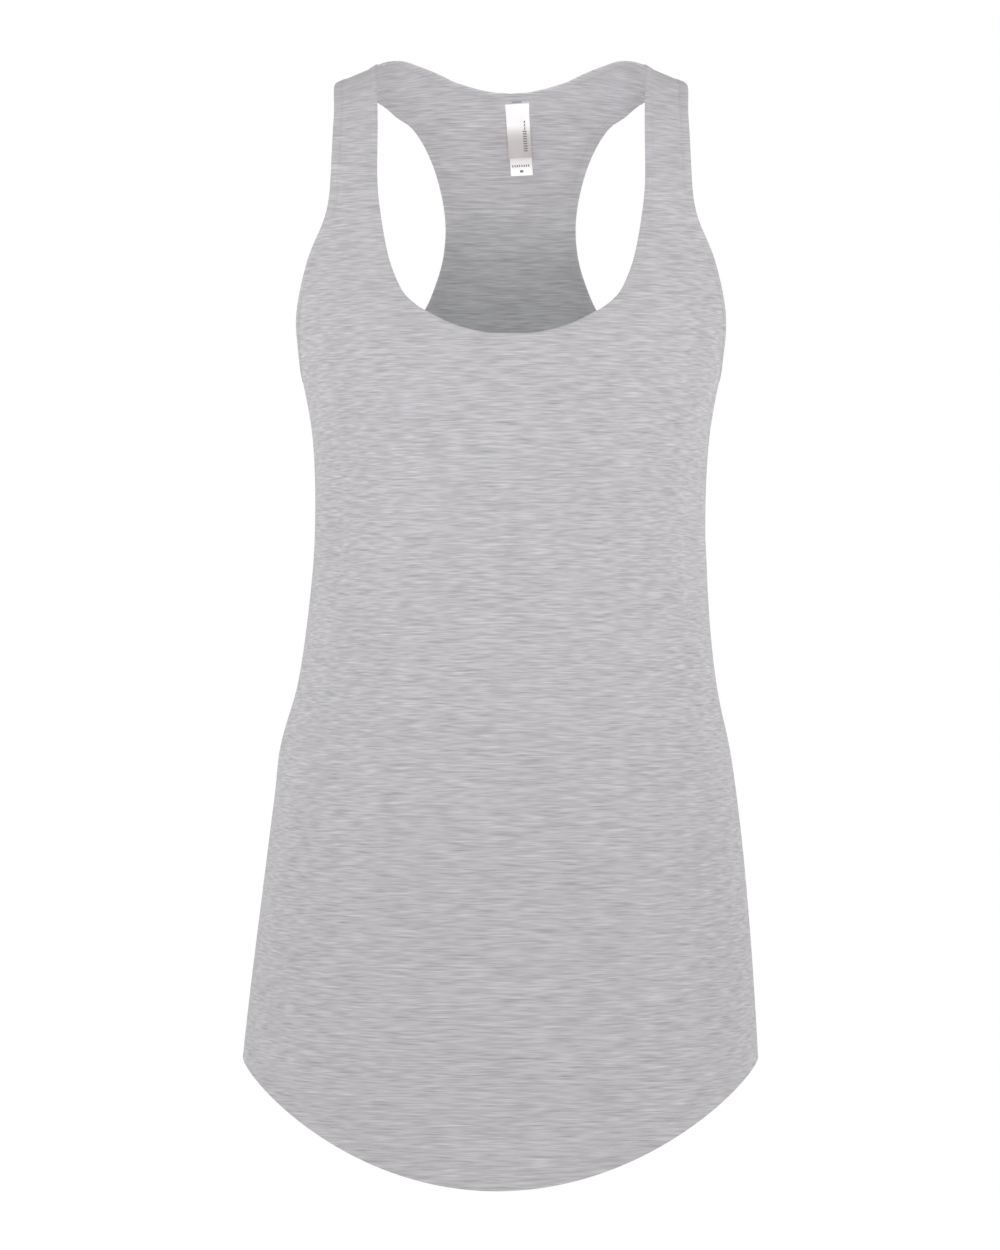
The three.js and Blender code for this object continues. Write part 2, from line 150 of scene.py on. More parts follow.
ARM_EDGE = edge_rows(
    front=(
        (90, 165.5), (84, 159.5), (79.3, 150.2), (75, 137.2), (70.5, 124.6), (62.5, 103.4),
        (53, 85), (49.1, 63.4), (47.4, 26.4), (46.5, 0),
    ),
    back=(
        (33.2, 21.4), (24.8, 40.8), (19.05, 72.8), (17, 109), (19.85, 140.5), (27.5, 164),
        (46, 173.5), (62, 172.5), (78, 169.5), (90, 165.5),
    ),
)


def smooth_through(knots: Array, values: Array, at: Array) -> Array:
    """A cubic through rising knots, smooth at each one.

    Between two knots it is the Hermite cubic whose slope at a knot is the rise between its
    two neighbours over their distance.

    Args:
        knots: Where the values are given, rising.
        values: The value at each knot.
        at: Where the curve is wanted; beyond the knots the end values hold.

    Returns:
        The values there, in the shape of ``at``.
    """
    below = np.maximum(np.arange(len(knots)) - 1, 0)
    above = np.minimum(np.arange(len(knots)) + 1, len(knots) - 1)
    slopes = (values[above] - values[below]) / (knots[above] - knots[below])
    span = np.clip(np.searchsorted(knots, at) - 1, 0, len(knots) - 2)
    width = knots[span + 1] - knots[span]
    s = np.clip((at - knots[span]) / width, 0, 1)
    start = (1 + 2 * s) * (1 - s) ** 2 * values[span] + s * (1 - s) ** 2 * width * slopes[span]
    rest = (3 - 2 * s) * s**2 * values[span + 1] + (s - 1) * s**2 * width * slopes[span + 1]
    return start + rest


@dataclass(frozen=True)
class Figure:
    """The smooth hollow form that the worn cloth follows.

    A level is a rounded oval: half width times the sine of the turn sideways, and depth times
    the cosine of the turn forward or back. Over the shoulder the wall follows a quarter round,
    and below it the reach runs straight down.
    """

    sections: tuple[Section, ...] = SECTIONS
    folds: tuple[Fold, ...] = FOLDS
    girth_radius: float = 150.0
    front_shoulder: float = 62.0
    back_shoulder: float = 95.0
    front_square: float = 0.25
    back_square: float = 0.2
    ridge_peak: float = 43.4
    ridge_slope: float = 0.43
    ridge_round: float = 25.0
    rise: float = 2.0
    rise_at: float = 79.5
    rise_width: float = 5.5
    nudge: float = 0.5

    @property
    def side_girth(self) -> float:
        """Girth of the side seam, a quarter of the way round."""
        return self.girth_radius * math.pi / 2

    def measure(self, name: str, z: Array) -> Array:
        """One of the sections' sizes at each height."""
        knots = np.array([section.z for section in self.sections], float)
        values = np.array([getattr(section, name) for section in self.sections], float)
        return smooth_through(knots, values, z)

    def ridge(self, turn: Array) -> Array:
        """Height of the shoulder line.

        It is a peak, less a slope times the rounded distance out, plus a small bell where the
        neck edge passes over the shoulder.
        """
        out = np.abs(self.girth_radius * np.sin(turn))
        fallen = self.ridge_slope * np.hypot(out, self.ridge_round)
        bell = np.exp(-(((out - self.rise_at) / self.rise_width) ** 2))
        return self.ridge_peak - fallen + self.rise * bell

    def reach(self, side: Side, fall: Array) -> Array:
        """Reach for a height lost: a quarter round over the shoulder, then straight down."""
        radius = self.front_shoulder if side is Side.FRONT else self.back_shoulder
        over = radius * np.arccos(np.clip(1 - fall / radius, 0, 1))
        return side.value * (over + np.maximum(fall - radius, 0))

    def bend(self, stations: Array) -> tuple[Array, ...]:
        """Turn, shoulder radius, angle over the shoulder, and the way forward or back."""
        front = stations[..., 1] < 0
        radius = np.where(front, self.front_shoulder, self.back_shoulder)
        over = np.minimum(np.abs(stations[..., 1]) / radius, np.pi / 2)
        return stations[..., 0] / self.girth_radius, radius, over, np.where(front, -1.0, 1.0)

    def push(self, angle: Array, z: Array) -> Array:
        """How far the folds move the wall outward.

        Each fold is minus its depth, times a squared sine along it, times a bell across it.

        Args:
            angle: Degrees all round from the centre front.
            z: Height.

        Returns:
            The outward move in millimetres.
        """
        moved = np.zeros_like(z)
        for fold in self.folds:
            along = (fold.top - z) / (fold.top - fold.bottom)
            across = (angle - fold.round - fold.lean * along + 540) % 360 - 180
            swell = np.where((along > 0) & (along < 1), np.sin(np.pi * along) ** 2, 0)
            moved -= fold.depth * swell * np.exp(-((across / fold.width) ** 2))
        return moved

    def place(self, stations: Array, swayed: bool = True) -> Array:
        """Places of stations on the figure.

        Args:
            stations: Girth and reach in the last axis.
            swayed: Adds the sway and the folds; without them both halves are alike.

        Returns:
            x, y and z in the last axis.
        """
        turn, radius, over, facing = self.bend(stations)
        front = facing < 0
        beyond = np.maximum(np.abs(stations[..., 1]) - radius * np.pi / 2, 0)
        z = self.ridge(turn) - radius * (1 - np.cos(over)) - beyond
        squared = 1 + np.where(front, self.front_square, self.back_square) * np.sin(turn) ** 2
        deep = np.where(front, self.measure("front", z), self.measure("back", z))
        x = self.measure("half", z) * np.sin(turn)
        y = facing * deep * squared * np.cos(turn) * np.sin(over)
        if swayed:
            push = self.push(np.degrees(np.where(front, turn, np.pi - turn)) % 360, z)
            x = x + self.measure("sway", z) + push * np.sin(turn)
            y = y + facing * push * np.cos(turn)
        return np.stack([x, y, z], axis=-1)

    def chart(self, stations: Array) -> Array:
        """The cloth's own chart: girth, and level along the straight grain."""
        girth, reach = stations[..., 0], stations[..., 1]
        level = self.ridge(girth / self.girth_radius) - np.abs(reach)
        return np.stack([girth, level], axis=-1)

    def grain(self, stations: Array) -> Array:
        """The chart wrapped round an even tube that closes over the shoulders."""
        turn, _, over, facing = self.bend(stations)
        depth = facing * self.girth_radius * np.cos(turn) * np.sin(over)
        level = self.chart(stations)[..., 1]
        return np.stack([self.girth_radius * np.sin(turn), depth, level], axis=-1)

    def slope(self, stations: Array, steps: Array, swayed: bool) -> Array:
        """How the place changes along steps in the girth and reach plane."""
        size = np.linalg.norm(steps, axis=-1, keepdims=True)
        nudges = steps / size * self.nudge
        ahead, behind = (self.place(stations + way * nudges, swayed) for way in (1, -1))
        return (ahead - behind) * size / (2 * self.nudge)

    def normal(self, stations: Array) -> Array:
        """Unit normals that point out of the figure."""
        front = stations[..., 1:] < 0
        across = self.slope(stations, np.broadcast_to([1.0, 0.0], stations.shape), True)
        along = self.slope(stations, np.where(front, [0.0, -1.0], [0.0, 1.0]), True)
        turned = np.cross(along, across) * np.where(front, 1.0, -1.0)
        return turned / np.linalg.norm(turned, axis=-1, keepdims=True)


@dataclass
class EdgeCurve:
    """A smooth curve through the rows of a cut edge, in the girth and reach plane."""

    figure: Figure
    rows: Sequence[EdgeRow]
    per_span: int = 60
    points: Array = field(init=False)
    lengths: Array = field(init=False)

    def __post_init__(self) -> None:
        """Samples the Catmull-Rom spline and sums its length."""
        girths = [self.figure.girth_radius * math.radians(row.turn) for row in self.rows]
        reaches = [self.figure.reach(row.side, np.float64(row.fall)) for row in self.rows]
        knots = np.stack([girths, reaches], axis=1)
        last = len(knots) - 1
        position = np.linspace(0, last, last * self.per_span + 1)
        span = np.minimum(position.astype(int), last - 1)
        t = (position - span)[:, None]
        before, start = knots[np.maximum(span - 1, 0)], knots[span]
        stop, after = knots[span + 1], knots[np.minimum(span + 2, last)]
        leave, arrive = (stop - before) / 2, (after - start) / 2
        cubic = (2 * start - 2 * stop + leave + arrive) * t**3
        square = (-3 * start + 3 * stop - 2 * leave - arrive) * t**2
        self.points = cubic + square + leave * t + start
        steps = np.linalg.norm(np.diff(self.points, axis=0), axis=1)
        self.lengths = np.concatenate([[0], np.cumsum(steps)])

    def stretch(self, first: int, last: int, steps: int, ease: float = 1.0) -> Array:
        """Stations from one row to another.

        Args:
            first: Row at the start.
            last: Row at the end.
            steps: Number of facets.
            ease: Over 1, the facets get shorter towards the end, under -1 towards the start.

        Returns:
            steps + 1 stations.
        """
        t = np.linspace(0, 1, steps + 1)
        share = 1 - (1 - t) ** ease if ease > 0 else t**-ease
        start, stop = self.lengths[first * self.per_span], self.lengths[last * self.per_span]
        wanted = start + share * (stop - start)
        return np.stack([np.interp(wanted, self.lengths, line) for line in self.points.T], axis=1)


def joined(*stretches: Array) -> Array:
    """Joins stretches that share their end stations."""
    return np.concatenate([stretches[0], *(stretch[1:] for stretch in stretches[1:])])


def mirrored(stations: Array) -> Array:
    """The same stations on the wearer's other side."""
    return stations * np.array([-1.0, 1.0])


def blended(start: Array, stop: Array, share: Array) -> Array:
    """Stations between two lists, one new axis of shares after the lists' own."""
    share = share[:, None]
    return start[:, None, :] * (1 - share) + stop[:, None, :] * share


@dataclass
class CutEdge:
    """A finished edge and the way into the cloth from it.

    The way in is square to the edge on the figure. Where the edge meets a line that the
    garment is even about, its neighbour is mirrored, and on the shoulder seam it slides along
    the seam. cloth is the side of the line that the cloth lies on, and shoulder is the number
    of the station on the shoulder seam.
    """

    figure: Figure
    line: Array
    cloth: int
    shoulder: int
    inward: Array = field(init=False)

    def __post_init__(self) -> None:
        """Works out the step in the plane for each millimetre into the cloth."""
        line = self.line
        first = np.array([2 * line[0, 0] - line[1, 0], line[1, 1]])
        last = np.array([2 * line[-1, 0] - line[-2, 0], line[-2, 1]])
        wide = np.vstack([first, line, last])
        along = wide[2:] - wide[:-2]
        across = np.stack([along[:, 1], -along[:, 0]], axis=1) * self.cloth
        along_space = self.figure.slope(line, along, False)
        across_space = self.figure.slope(line, across, False)
        skew = np.sum(across_space * along_space, 1) / np.sum(along_space**2, 1)
        across = across - along * skew[:, None]
        across_space = self.figure.slope(line, across, False)
        length = np.linalg.norm(across_space, axis=1, keepdims=True)
        self.inward = across / length
        seam = np.array([[np.sign(across[self.shoulder, 0]), 0.0]])
        seam_space = self.figure.slope(line[self.shoulder][None], seam, False)[0]
        gained = seam_space @ across_space[self.shoulder] / length[self.shoulder, 0]
        self.inward[self.shoulder] = seam[0] / gained

    def at(self, inset: float) -> Array:
        """Stations a number of millimetres inside the finished edge."""
        return self.line + self.inward * inset


@dataclass(frozen=True)
class Facets:
    """How many facets each stretch of the cloth has."""

    neck_front: int = 30
    strap_width: int = 28
    arm_front: int = 26
    strap_front: int = 54
    strap_back: int = 36
    stem_side: int = 30
    stem_width: int = 28
    arm_back: int = 56
    hem_to_root: int = 100


@dataclass
class Pattern:
    """The cut of the whole top: its neck and armhole edges, on the figure."""

    figure: Figure = field(default_factory=Figure)
    facets: Facets = field(default_factory=Facets)
    hem_side: float = -617.4
    hem_drop: float = 69.8
    seam_ease: float = 1.7
    neck: CutEdge = field(init=False)
    arm: CutEdge = field(init=False)

    def __post_init__(self) -> None:
        """Draws both edges from the centre front, or the side, to the shoulder seam and on."""
        facets, ease = self.facets, self.seam_ease
        neck = EdgeCurve(self.figure, NECK_EDGE)
        arm = EdgeCurve(self.figure, ARM_EDGE)
        neck_line = joined(
            neck.stretch(0, 6, facets.neck_front),
            neck.stretch(6, 10, facets.strap_front, ease),
            neck.stretch(10, 14, facets.strap_back, -ease),
            neck.stretch(14, 17, facets.stem_width),
        )
        arm_line = joined(
            arm.stretch(0, 4, facets.arm_front, -ease),
            arm.stretch(4, 9, facets.strap_front, ease),
            arm.stretch(9, 12, facets.strap_back, -ease),
            arm.stretch(12, 15, facets.stem_side),
            arm.stretch(15, 19, facets.arm_back, ease),
        )
        self.neck = CutEdge(self.figure, neck_line, 1, facets.neck_front + facets.strap_front)
        self.arm = CutEdge(self.figure, arm_line, -1, facets.arm_front + facets.strap_front)

    def hem_reach(self, girth: Array, side: Side) -> Array:
        """Reach of the shirt-tail hem, which drops by the squared cosine of the turn."""
        turn = girth / self.figure.girth_radius
        z = self.hem_side - self.hem_drop * np.cos(turn) ** 2
        return self.figure.reach(side, self.figure.ridge(turn) - z)


@dataclass
class MeshParts:
    """A closed shape in millimetres: vertices, four-sided faces and the place in the cloth.

    chart is (girth, level) for each vertex, and grain is the same place on the round cloth,
    as three lengths, so that a pattern runs on all round without a join. inside is 1 on the
    skin that faces into the top and 0 on the skin that faces out.
    """

    vertices: Array
    faces: Array
    chart: Array
    grain: Array
    inside: Array

    def turned_out(self) -> MeshParts:
        """The same shape with its faces outward: its signed volume is above zero."""
        corners = self.vertices[self.faces]
        volumes = (
            np.einsum("ij,ij->i", corners[:, 0], np.cross(corners[:, near], corners[:, near + 1]))
            for near in (1, 2)
        )
        if sum(volume.sum() for volume in volumes) < 0:
            return replace(self, faces=self.faces[:, ::-1])
        return self

    @staticmethod
    def merged(shapes: Sequence[MeshParts]) -> MeshParts:
        """Several shapes as one."""
        starts = np.cumsum([0, *(len(shape.vertices) for shape in shapes[:-1])])
        moved = [replace(shape, faces=shape.faces + at) for shape, at in zip(shapes, starts)]
        names = [part.name for part in fields(MeshParts)]
        return MeshParts(
            **{name: np.concatenate([getattr(shape, name) for shape in moved]) for name in names}
        )


def make_piece(name: str, parts: MeshParts, material: Material) -> Piece:
    """Puts a shape into the scene as a piece of the top.

    Args:
        name: Name of the piece.
        parts: Its shape, in millimetres.
        material: Its finish.

    Returns:
        The new object, at the origin, riding on the body.
    """
    parts = parts.turned_out()
    faces = parts.faces.astype(np.int32)
    mesh = bpy.data.meshes.new(name)
    mesh.vertices.add(len(parts.vertices))
    mesh.vertices.foreach_set("co", (parts.vertices * MM).astype(np.float32).ravel())
    mesh.loops.add(faces.size)
    mesh.loops.foreach_set("vertex_index", faces.ravel())
    mesh.polygons.add(len(faces))
    mesh.polygons.foreach_set("loop_start", np.arange(0, faces.size, 4, dtype=np.int32))
    mesh.polygons.foreach_set("use_smooth", np.ones(len(faces), bool))
    chart = mesh.uv_layers.new(name=CHART)
    chart.uv.foreach_set("vector", (parts.chart[faces] * MM).astype(np.float32).ravel())
    grain = mesh.attributes.new(GRAIN, "FLOAT_VECTOR", "POINT")
    grain.data.foreach_set("vector", (parts.grain * MM).astype(np.float32).ravel())
    inside = mesh.attributes.new(INSIDE, "FLOAT", "POINT")
    inside.data.foreach_set("value", parts.inside.astype(np.float32))
    mesh.update(calc_edges=True)
    mesh.validate()
    mesh.set_sharp_from_angle(angle=SHARP_ANGLE)
    mesh.materials.append(material)
    piece = bpy.data.objects.new(name, mesh)
    bpy.context.scene.collection.objects.link(piece)
    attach(piece, BODY)
    log.info("%s: %d faces", name, len(mesh.polygons))
    return piece


def cloth_wall(
    figure: Figure, stations: Array, outer: Array, inner: Array, chart: Array | None = None
) -> MeshParts:
    """A thin wall on a grid of stations: two skins, and a rim round every open edge.

    Args:
        figure: The figure that the cloth follows.
        stations: Rows and columns of stations, not-a-number where the cloth has none.
        outer: Height of the outer skin over the figure at each station.
        inner: Height of the inner skin, below the outer one.
        chart: The wall's own chart, where it isn't the cloth's.

    Returns:
        The closed wall.
    """
    present = ~np.isnan(stations[..., 0])
    order = np.cumsum(present).reshape(present.shape) - 1
    kept = stations[present]
    count = len(kept)
    places, normals = figure.place(kept), figure.normal(kept)
    skins = [places + normals * height[present][:, None] for height in (outer, inner)]
    corners = [
        (slice(None, -1), slice(None, -1)), (slice(None, -1), slice(1, None)),
        (slice(1, None), slice(1, None)), (slice(1, None), slice(None, -1)),
    ]
    whole = np.all([present[corner] for corner in corners], axis=0)
    cells = np.stack([order[corner][whole] for corner in corners], axis=1)
    starts, stops = cells.ravel(), np.roll(cells, -1, axis=1).ravel()
    lone = ~np.isin(starts * count + stops, stops * count + starts)
    start, stop = starts[lone], stops[lone]
    rims = np.stack([stop, start, start + count, stop + count], axis=1)
    mapped = figure.chart(kept) if chart is None else chart[present]
    return MeshParts(
        np.concatenate(skins),
        np.concatenate([cells, cells[:, ::-1] + count, rims]),
        np.tile(mapped, (2, 1)),
        np.tile(figure.grain(kept), (2, 1)),
        np.repeat([0.0, 1.0], count),
    )


def ring_faces(rows: int, columns: int, looped: bool = True) -> Array:
    """Faces of a closed section carried along rows, round a loop or from end to end."""
    row, column = np.divmod(np.arange((rows if looped else rows - 1) * columns), columns)
    next_row, next_column = (row + 1) % rows, (column + 1) % columns
    corners = [(row, column), (row, next_column), (next_row, next_column), (next_row, column)]
    return np.stack([at_row * columns + at_column for at_row, at_column in corners], axis=1)


@dataclass
class Trail:
    """A line on the cloth that stitches follow, with the normal and the cloth's pattern."""

    places: Array
    normals: Array
    chart: Array
    grain: Array
    lengths: Array = field(init=False)

    def __post_init__(self) -> None:
        """Sums the length along the line."""
        steps = np.linalg.norm(np.diff(self.places, axis=0), axis=1)
        self.lengths = np.concatenate([[0], np.cumsum(steps)])

    @staticmethod
    def on(figure: Figure, stations: Array, height: float) -> Trail:
        """A line through stations, at a height over the figure."""
        normals = figure.normal(stations)
        places = figure.place(stations) + normals * height
        return Trail(places, normals, figure.chart(stations), figure.grain(stations))

    def turned_in(self) -> Trail:
        """The same line, for thread that lies on the side that faces into the top."""
        return replace(self, normals=-self.normals)

    def closed(self) -> Trail:
        """The same line, run on to where it started."""
        parts = (self.places, self.normals, self.chart, self.grain)
        return Trail(*(np.concatenate([part, part[:1]]) for part in parts))

    def at(self, lengths: Array, part: str) -> Array:
        """Places, normals, chart or grain at lengths along the line."""
        columns = getattr(self, part).T
        return np.stack([np.interp(lengths, self.lengths, column) for column in columns], axis=1)


@dataclass(frozen=True)
class Stitching:
    """Sewing thread on the cloth: short rounded bars, each with both ends in the cloth.

    rings are the shares of the length and of the radius at each ring of corners along a bar,
    the third one at its middle, and sunk is how far a thinner ring sinks into the cloth.
    """

    pitch: float = 2.5
    share: float = 0.86
    radius: float = 0.13
    rise: float = 0.06
    corners: int = 6
    rings: tuple[Pair, ...] = ((0, 0.45), (0.1, 0.9), (0.5, 1), (0.9, 0.9), (1, 0.45))
    sunk: float = 0.8

    def bars(self, starts: Array, stops: Array, trail: Trail, middle: Array) -> MeshParts:
        """Bars of thread, narrow at both ends, that rise in the middle by a parabola.

        Args:
            starts: Where each bar begins.
            stops: Where each bar ends.
            trail: The line whose normals and cloth the bars take.
            middle: Length along that line at the middle of each bar.

        Returns:
            All the bars as one shape, each end closed by two four-sided faces.
        """
        normals = trail.at(middle, "normals")
        along, girth = np.array(self.rings).T
        girth = girth * self.radius
        lift = self.rise * (1 - (2 * along - 1) ** 2) - (girth[2] - girth) * self.sunk
        angle = np.arange(self.corners) * 2 * np.pi / self.corners
        run = stops - starts
        unit = run / np.linalg.norm(run, axis=1, keepdims=True)
        side = np.cross(normals, unit)
        side = side / np.linalg.norm(side, axis=1, keepdims=True)
        centres = starts[:, None] + run[:, None] * along[None, :, None]
        centres = centres + normals[:, None] * lift[None, :, None]
        spokes = side[:, None] * np.cos(angle)[:, None] + normals[:, None] * np.sin(angle)[:, None]
        points = centres[:, :, None] + spokes[:, None] * girth[None, :, None, None]
        each = len(self.rings) * self.corners
        tube = ring_faces(len(self.rings), self.corners, looped=False)
        cap = np.array([[0, 3, 2, 1], [0, 5, 4, 3]])
        far_cap = each - self.corners + np.array([[0, 1, 2, 3], [0, 3, 4, 5]])
        one = np.concatenate([tube, cap, far_cap])[:, ::-1]
        faces = one[None] + each * np.arange(len(starts))[:, None, None]
        return MeshParts(
            points.reshape(-1, 3),
            faces.reshape(-1, 4),
            np.repeat(trail.at(middle, "chart"), each, axis=0),
            np.repeat(trail.at(middle, "grain"), each, axis=0),
            np.zeros(each * len(starts)),
        )

    def row(self, trail: Trail) -> MeshParts:
        """A straight row of stitches along a line."""
        count = round(trail.lengths[-1] / self.pitch)
        pitch = trail.lengths[-1] / count
        begin = (np.arange(count) + (1 - self.share) / 2) * pitch
        end, middle = begin + self.share * pitch, begin + self.share * pitch / 2
        return self.bars(trail.at(begin, "places"), trail.at(end, "places"), trail, middle)

    def zigzag(self, left: Trail, right: Trail) -> MeshParts:
        """Thread that crosses from one line to another and back, as a looper thread lies."""
        count = 2 * round(left.lengths[-1] / self.pitch)
        turns = np.arange(count + 1)
        share = turns / count
        places = np.where(
            (turns % 2 == 0)[:, None],
            left.at(share * left.lengths[-1], "places"),
            right.at(share * right.lengths[-1], "places"),
        )
        middle = (share[1:] + share[:-1]) / 2 * left.lengths[-1]
        return self.bars(places[:-1], places[1:], left, middle)


@dataclass
class Panel:
    """The front or the back, cut in one with its straps, and turned up once at the hem.

    The cloth is two skins a fixed height over and under the figure. Both dip in a narrow bell
    at the side and shoulder seams. At the hem the inner skin moves in by a second layer up to
    the turned edge, and both skins close on a rounded fold. hem_rows are the heights of the
    lowest rows of stations over the fold.
    """

    pattern: Pattern
    side: Side
    half_cloth: float = 0.25
    tucked: float = 1.4
    seam_gap: float = 0.06
    seam_dip: float = 0.55
    seam_dip_width: float = 1.2
    hem_depth: float = 15.5
    hem_step: float = 1.2
    hem_cloth: float = 0.85
    hem_fold: float = 0.7
    hem_blunt: float = 0.02
    needle_rows: Pair = (11.5, 14.0)
    needle_dip: float = 0.1
    needle_width: float = 0.55
    thread_over: float = 0.02
    thread_under: float = 0.04
    thread_steps: int = 241
    hem_rows: tuple[float, ...] = (
        0, 0.25, 0.7, 1.5, 3, 5, 7, 9, 10.4, 11.1, 11.5, 11.9, 12.7, 13.6, 14, 14.4, 15.2, 16, 18
    )

    def skirt(self, line: Array) -> Array:
        """Columns of constant girth from the hem up to a line of stations."""
        girth = line[:, 0]
        hem = self.pattern.hem_reach(girth, self.side)
        first = hem[None] - self.side.value * np.array(self.hem_rows)[:, None]
        share = np.linspace(0, 1, self.pattern.facets.hem_to_root + 1)[1:, None]
        rest = first[-1][None] * (1 - share) + line[:, 1][None] * share
        reach = np.concatenate([first, rest])
        return np.stack([np.broadcast_to(girth, reach.shape), reach], axis=-1)

    def clear_of_side(self, line: Array) -> Array:
        """Draws stations back from the side seam by half of its gap."""
        limit = self.pattern.figure.side_girth - self.seam_gap / 2
        return np.stack([np.minimum(line[:, 0], limit), line[:, 1]], axis=1)

    def clear_of_shoulder(self, line: Array) -> Array:
        """Puts the last station of a line just short of the shoulder seam."""
        line = line.copy()
        line[-1, 1] = self.side.value * self.seam_gap / 2
        return line

    def lay(self, rows: int, half: int, blocks: Sequence[tuple[Array, int, int]]) -> Array:
        """Lays blocks of stations in a grid with empty places, and mirrors them.

        Args:
            rows: Rows of the grid.
            half: Columns from the centre to the side.
            blocks: Each block with its first row and its first column from the centre.

        Returns:
            The grid of stations.
        """
        grid = np.full((rows, 2 * half + 1, 2), np.nan)
        for block, row, column in blocks:
            tall, wide = block.shape[:2]
            grid[row : row + tall, half + column : half + column + wide] = block
            left = mirrored(block)[:, ::-1]
            grid[row : row + tall, half - column - wide + 1 : half - column + 1] = left
        return grid

    def front_stations(self) -> Array:
        """The front: a skirt and two straps."""
        facets = self.pattern.facets
        neck, arm = self.pattern.neck.at(self.tucked), self.pattern.arm.at(self.tucked)
        tall = facets.strap_front
        strap = blended(
            self.clear_of_shoulder(neck[facets.neck_front : facets.neck_front + tall + 1]),
            self.clear_of_shoulder(arm[facets.arm_front : facets.arm_front + tall + 1]),
            np.linspace(0, 1, facets.strap_width + 1),
        )
        underarm = self.clear_of_side(arm[: facets.arm_front + 1][::-1])
        line = joined(neck[: facets.neck_front + 1], strap[0], underarm)
        skirt = self.skirt(line)
        root = len(skirt) - 1
        blocks = [(skirt, 0, 0), (strap, root, facets.neck_front)]
        return self.lay(root + tall + 1, len(line) - 1, blocks)

    def back_stations(self) -> Array:
        """The racer back: a skirt, a narrow stem between the shoulder blades, and two straps.

        The stem is a patch between four edges: the blend of both pairs, less that of the
        corners.
        """
        pattern, facets = self.pattern, self.pattern.facets
        neck, arm = pattern.neck.at(self.tucked), pattern.arm.at(self.tucked)
        neck, arm = neck[pattern.neck.shoulder :], arm[pattern.arm.shoulder :]
        wide, tall, deep = facets.strap_back, facets.strap_width, facets.stem_side
        strap = blended(
            self.clear_of_shoulder(arm[: wide + 1][::-1]),
            self.clear_of_shoulder(neck[: wide + 1][::-1]),
            np.linspace(0, 1, tall + 1),
        ).swapaxes(0, 1)
        stem_edge = arm[wide : wide + deep + 1][::-1]
        right = joined(stem_edge, strap[:, 0])
        top = neck[wide:][::-1]
        root = stem_edge[0]
        across = np.linspace(0, 1, facets.stem_width + 1)[None, :, None]
        up = np.linspace(0, 1, deep + tall + 1)[:, None, None]
        centre = np.array([0.0, root[1]])
        bottom = centre * (1 - across[0]) + root * across[0]
        left = centre * (1 - up[:, 0]) + top[0] * up[:, 0]
        upright = bottom[None] * (1 - up) + top[None] * up
        level = left[:, None] * (1 - across) + right[:, None] * across
        low_corners = bottom[0] * (1 - across) + bottom[-1] * across
        high_corners = top[0] * (1 - across) + top[-1] * across
        stem = upright + level - (low_corners * (1 - up) + high_corners * up)
        line = joined(stem[0], self.clear_of_side(arm[wide + deep :]))
        skirt = self.skirt(line)
        base = len(skirt) - 1
        blocks = [(skirt, 0, 0), (stem, base, 0), (strap, base + deep, facets.stem_width)]
        return self.lay(base + len(stem), len(line) - 1, blocks)

    def heights(self, stations: Array) -> tuple[Array, Array]:
        """Heights of the outer and inner skins over the figure at each station."""
        girth, reach = stations[..., 0], np.abs(stations[..., 1])
        above = np.abs(self.pattern.hem_reach(girth, self.side)) - reach
        from_side = self.pattern.figure.side_girth - np.abs(girth)
        dip = self.seam_dip * (
            np.exp(-((from_side / self.seam_dip_width) ** 2))
            + np.exp(-((reach / self.seam_dip_width) ** 2))
        )
        turned = np.clip((self.hem_depth + self.hem_step / 2 - above) / self.hem_step, 0, 1)
        inner_edge = -self.half_cloth - (self.hem_cloth - 2 * self.half_cloth) * turned
        rows = sum(np.exp(-(((above - row) / self.needle_width) ** 2)) for row in self.needle_rows)
        middle = (self.half_cloth + inner_edge) / 2
        half = (self.half_cloth - inner_edge) / 2
        short = 1 - np.clip(above / self.hem_fold, 0, 1)
        rounded = np.sqrt(np.clip(1 - short**2, self.hem_blunt, 1))
        outer = middle + half * rounded - self.needle_dip * rows - dip
        return outer, middle - half * rounded - dip

    def build(self, cloth: Material) -> Piece:
        """Makes the panel."""
        stations = self.front_stations() if self.side is Side.FRONT else self.back_stations()
        parts = cloth_wall(self.pattern.figure, stations, *self.heights(stations))
        name = self.side.name.lower()
        piece = make_piece(f"{name}_jersey", parts, cloth)
        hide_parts(f"{name}_panel")
        return piece

    def hem_trail(self, above: float, height: float) -> Trail:
        """A line all along the panel's hem, a distance above its fold."""
        limit = self.pattern.figure.side_girth - self.seam_dip_width
        girth = np.linspace(-limit, limit, self.thread_steps)
        reach = self.pattern.hem_reach(girth, self.side) - self.side.value * above
        return Trail.on(self.pattern.figure, np.stack([girth, reach], axis=1), height)

    def build_hem_stitching(self, stitching: Stitching, thread: Material) -> Piece:
        """Makes the two needle rows outside and the crossing thread inside."""
        outside = self.half_cloth - self.needle_dip + self.thread_over
        inside = self.half_cloth - self.hem_cloth - self.thread_under
        parts = [stitching.row(self.hem_trail(row, outside)) for row in self.needle_rows]
        low, high = (self.hem_trail(row, inside).turned_in() for row in self.needle_rows)
        merged = MeshParts.merged([*parts, stitching.zigzag(low, high)])
        return make_piece(f"{self.side.name.lower()}_hem_stitching", merged, thread)


class Opening(Enum):
    """The three bound openings."""

    NECK = "neck"
    ARMHOLE_LEFT = "armhole_left"
    ARMHOLE_RIGHT = "armhole_right"


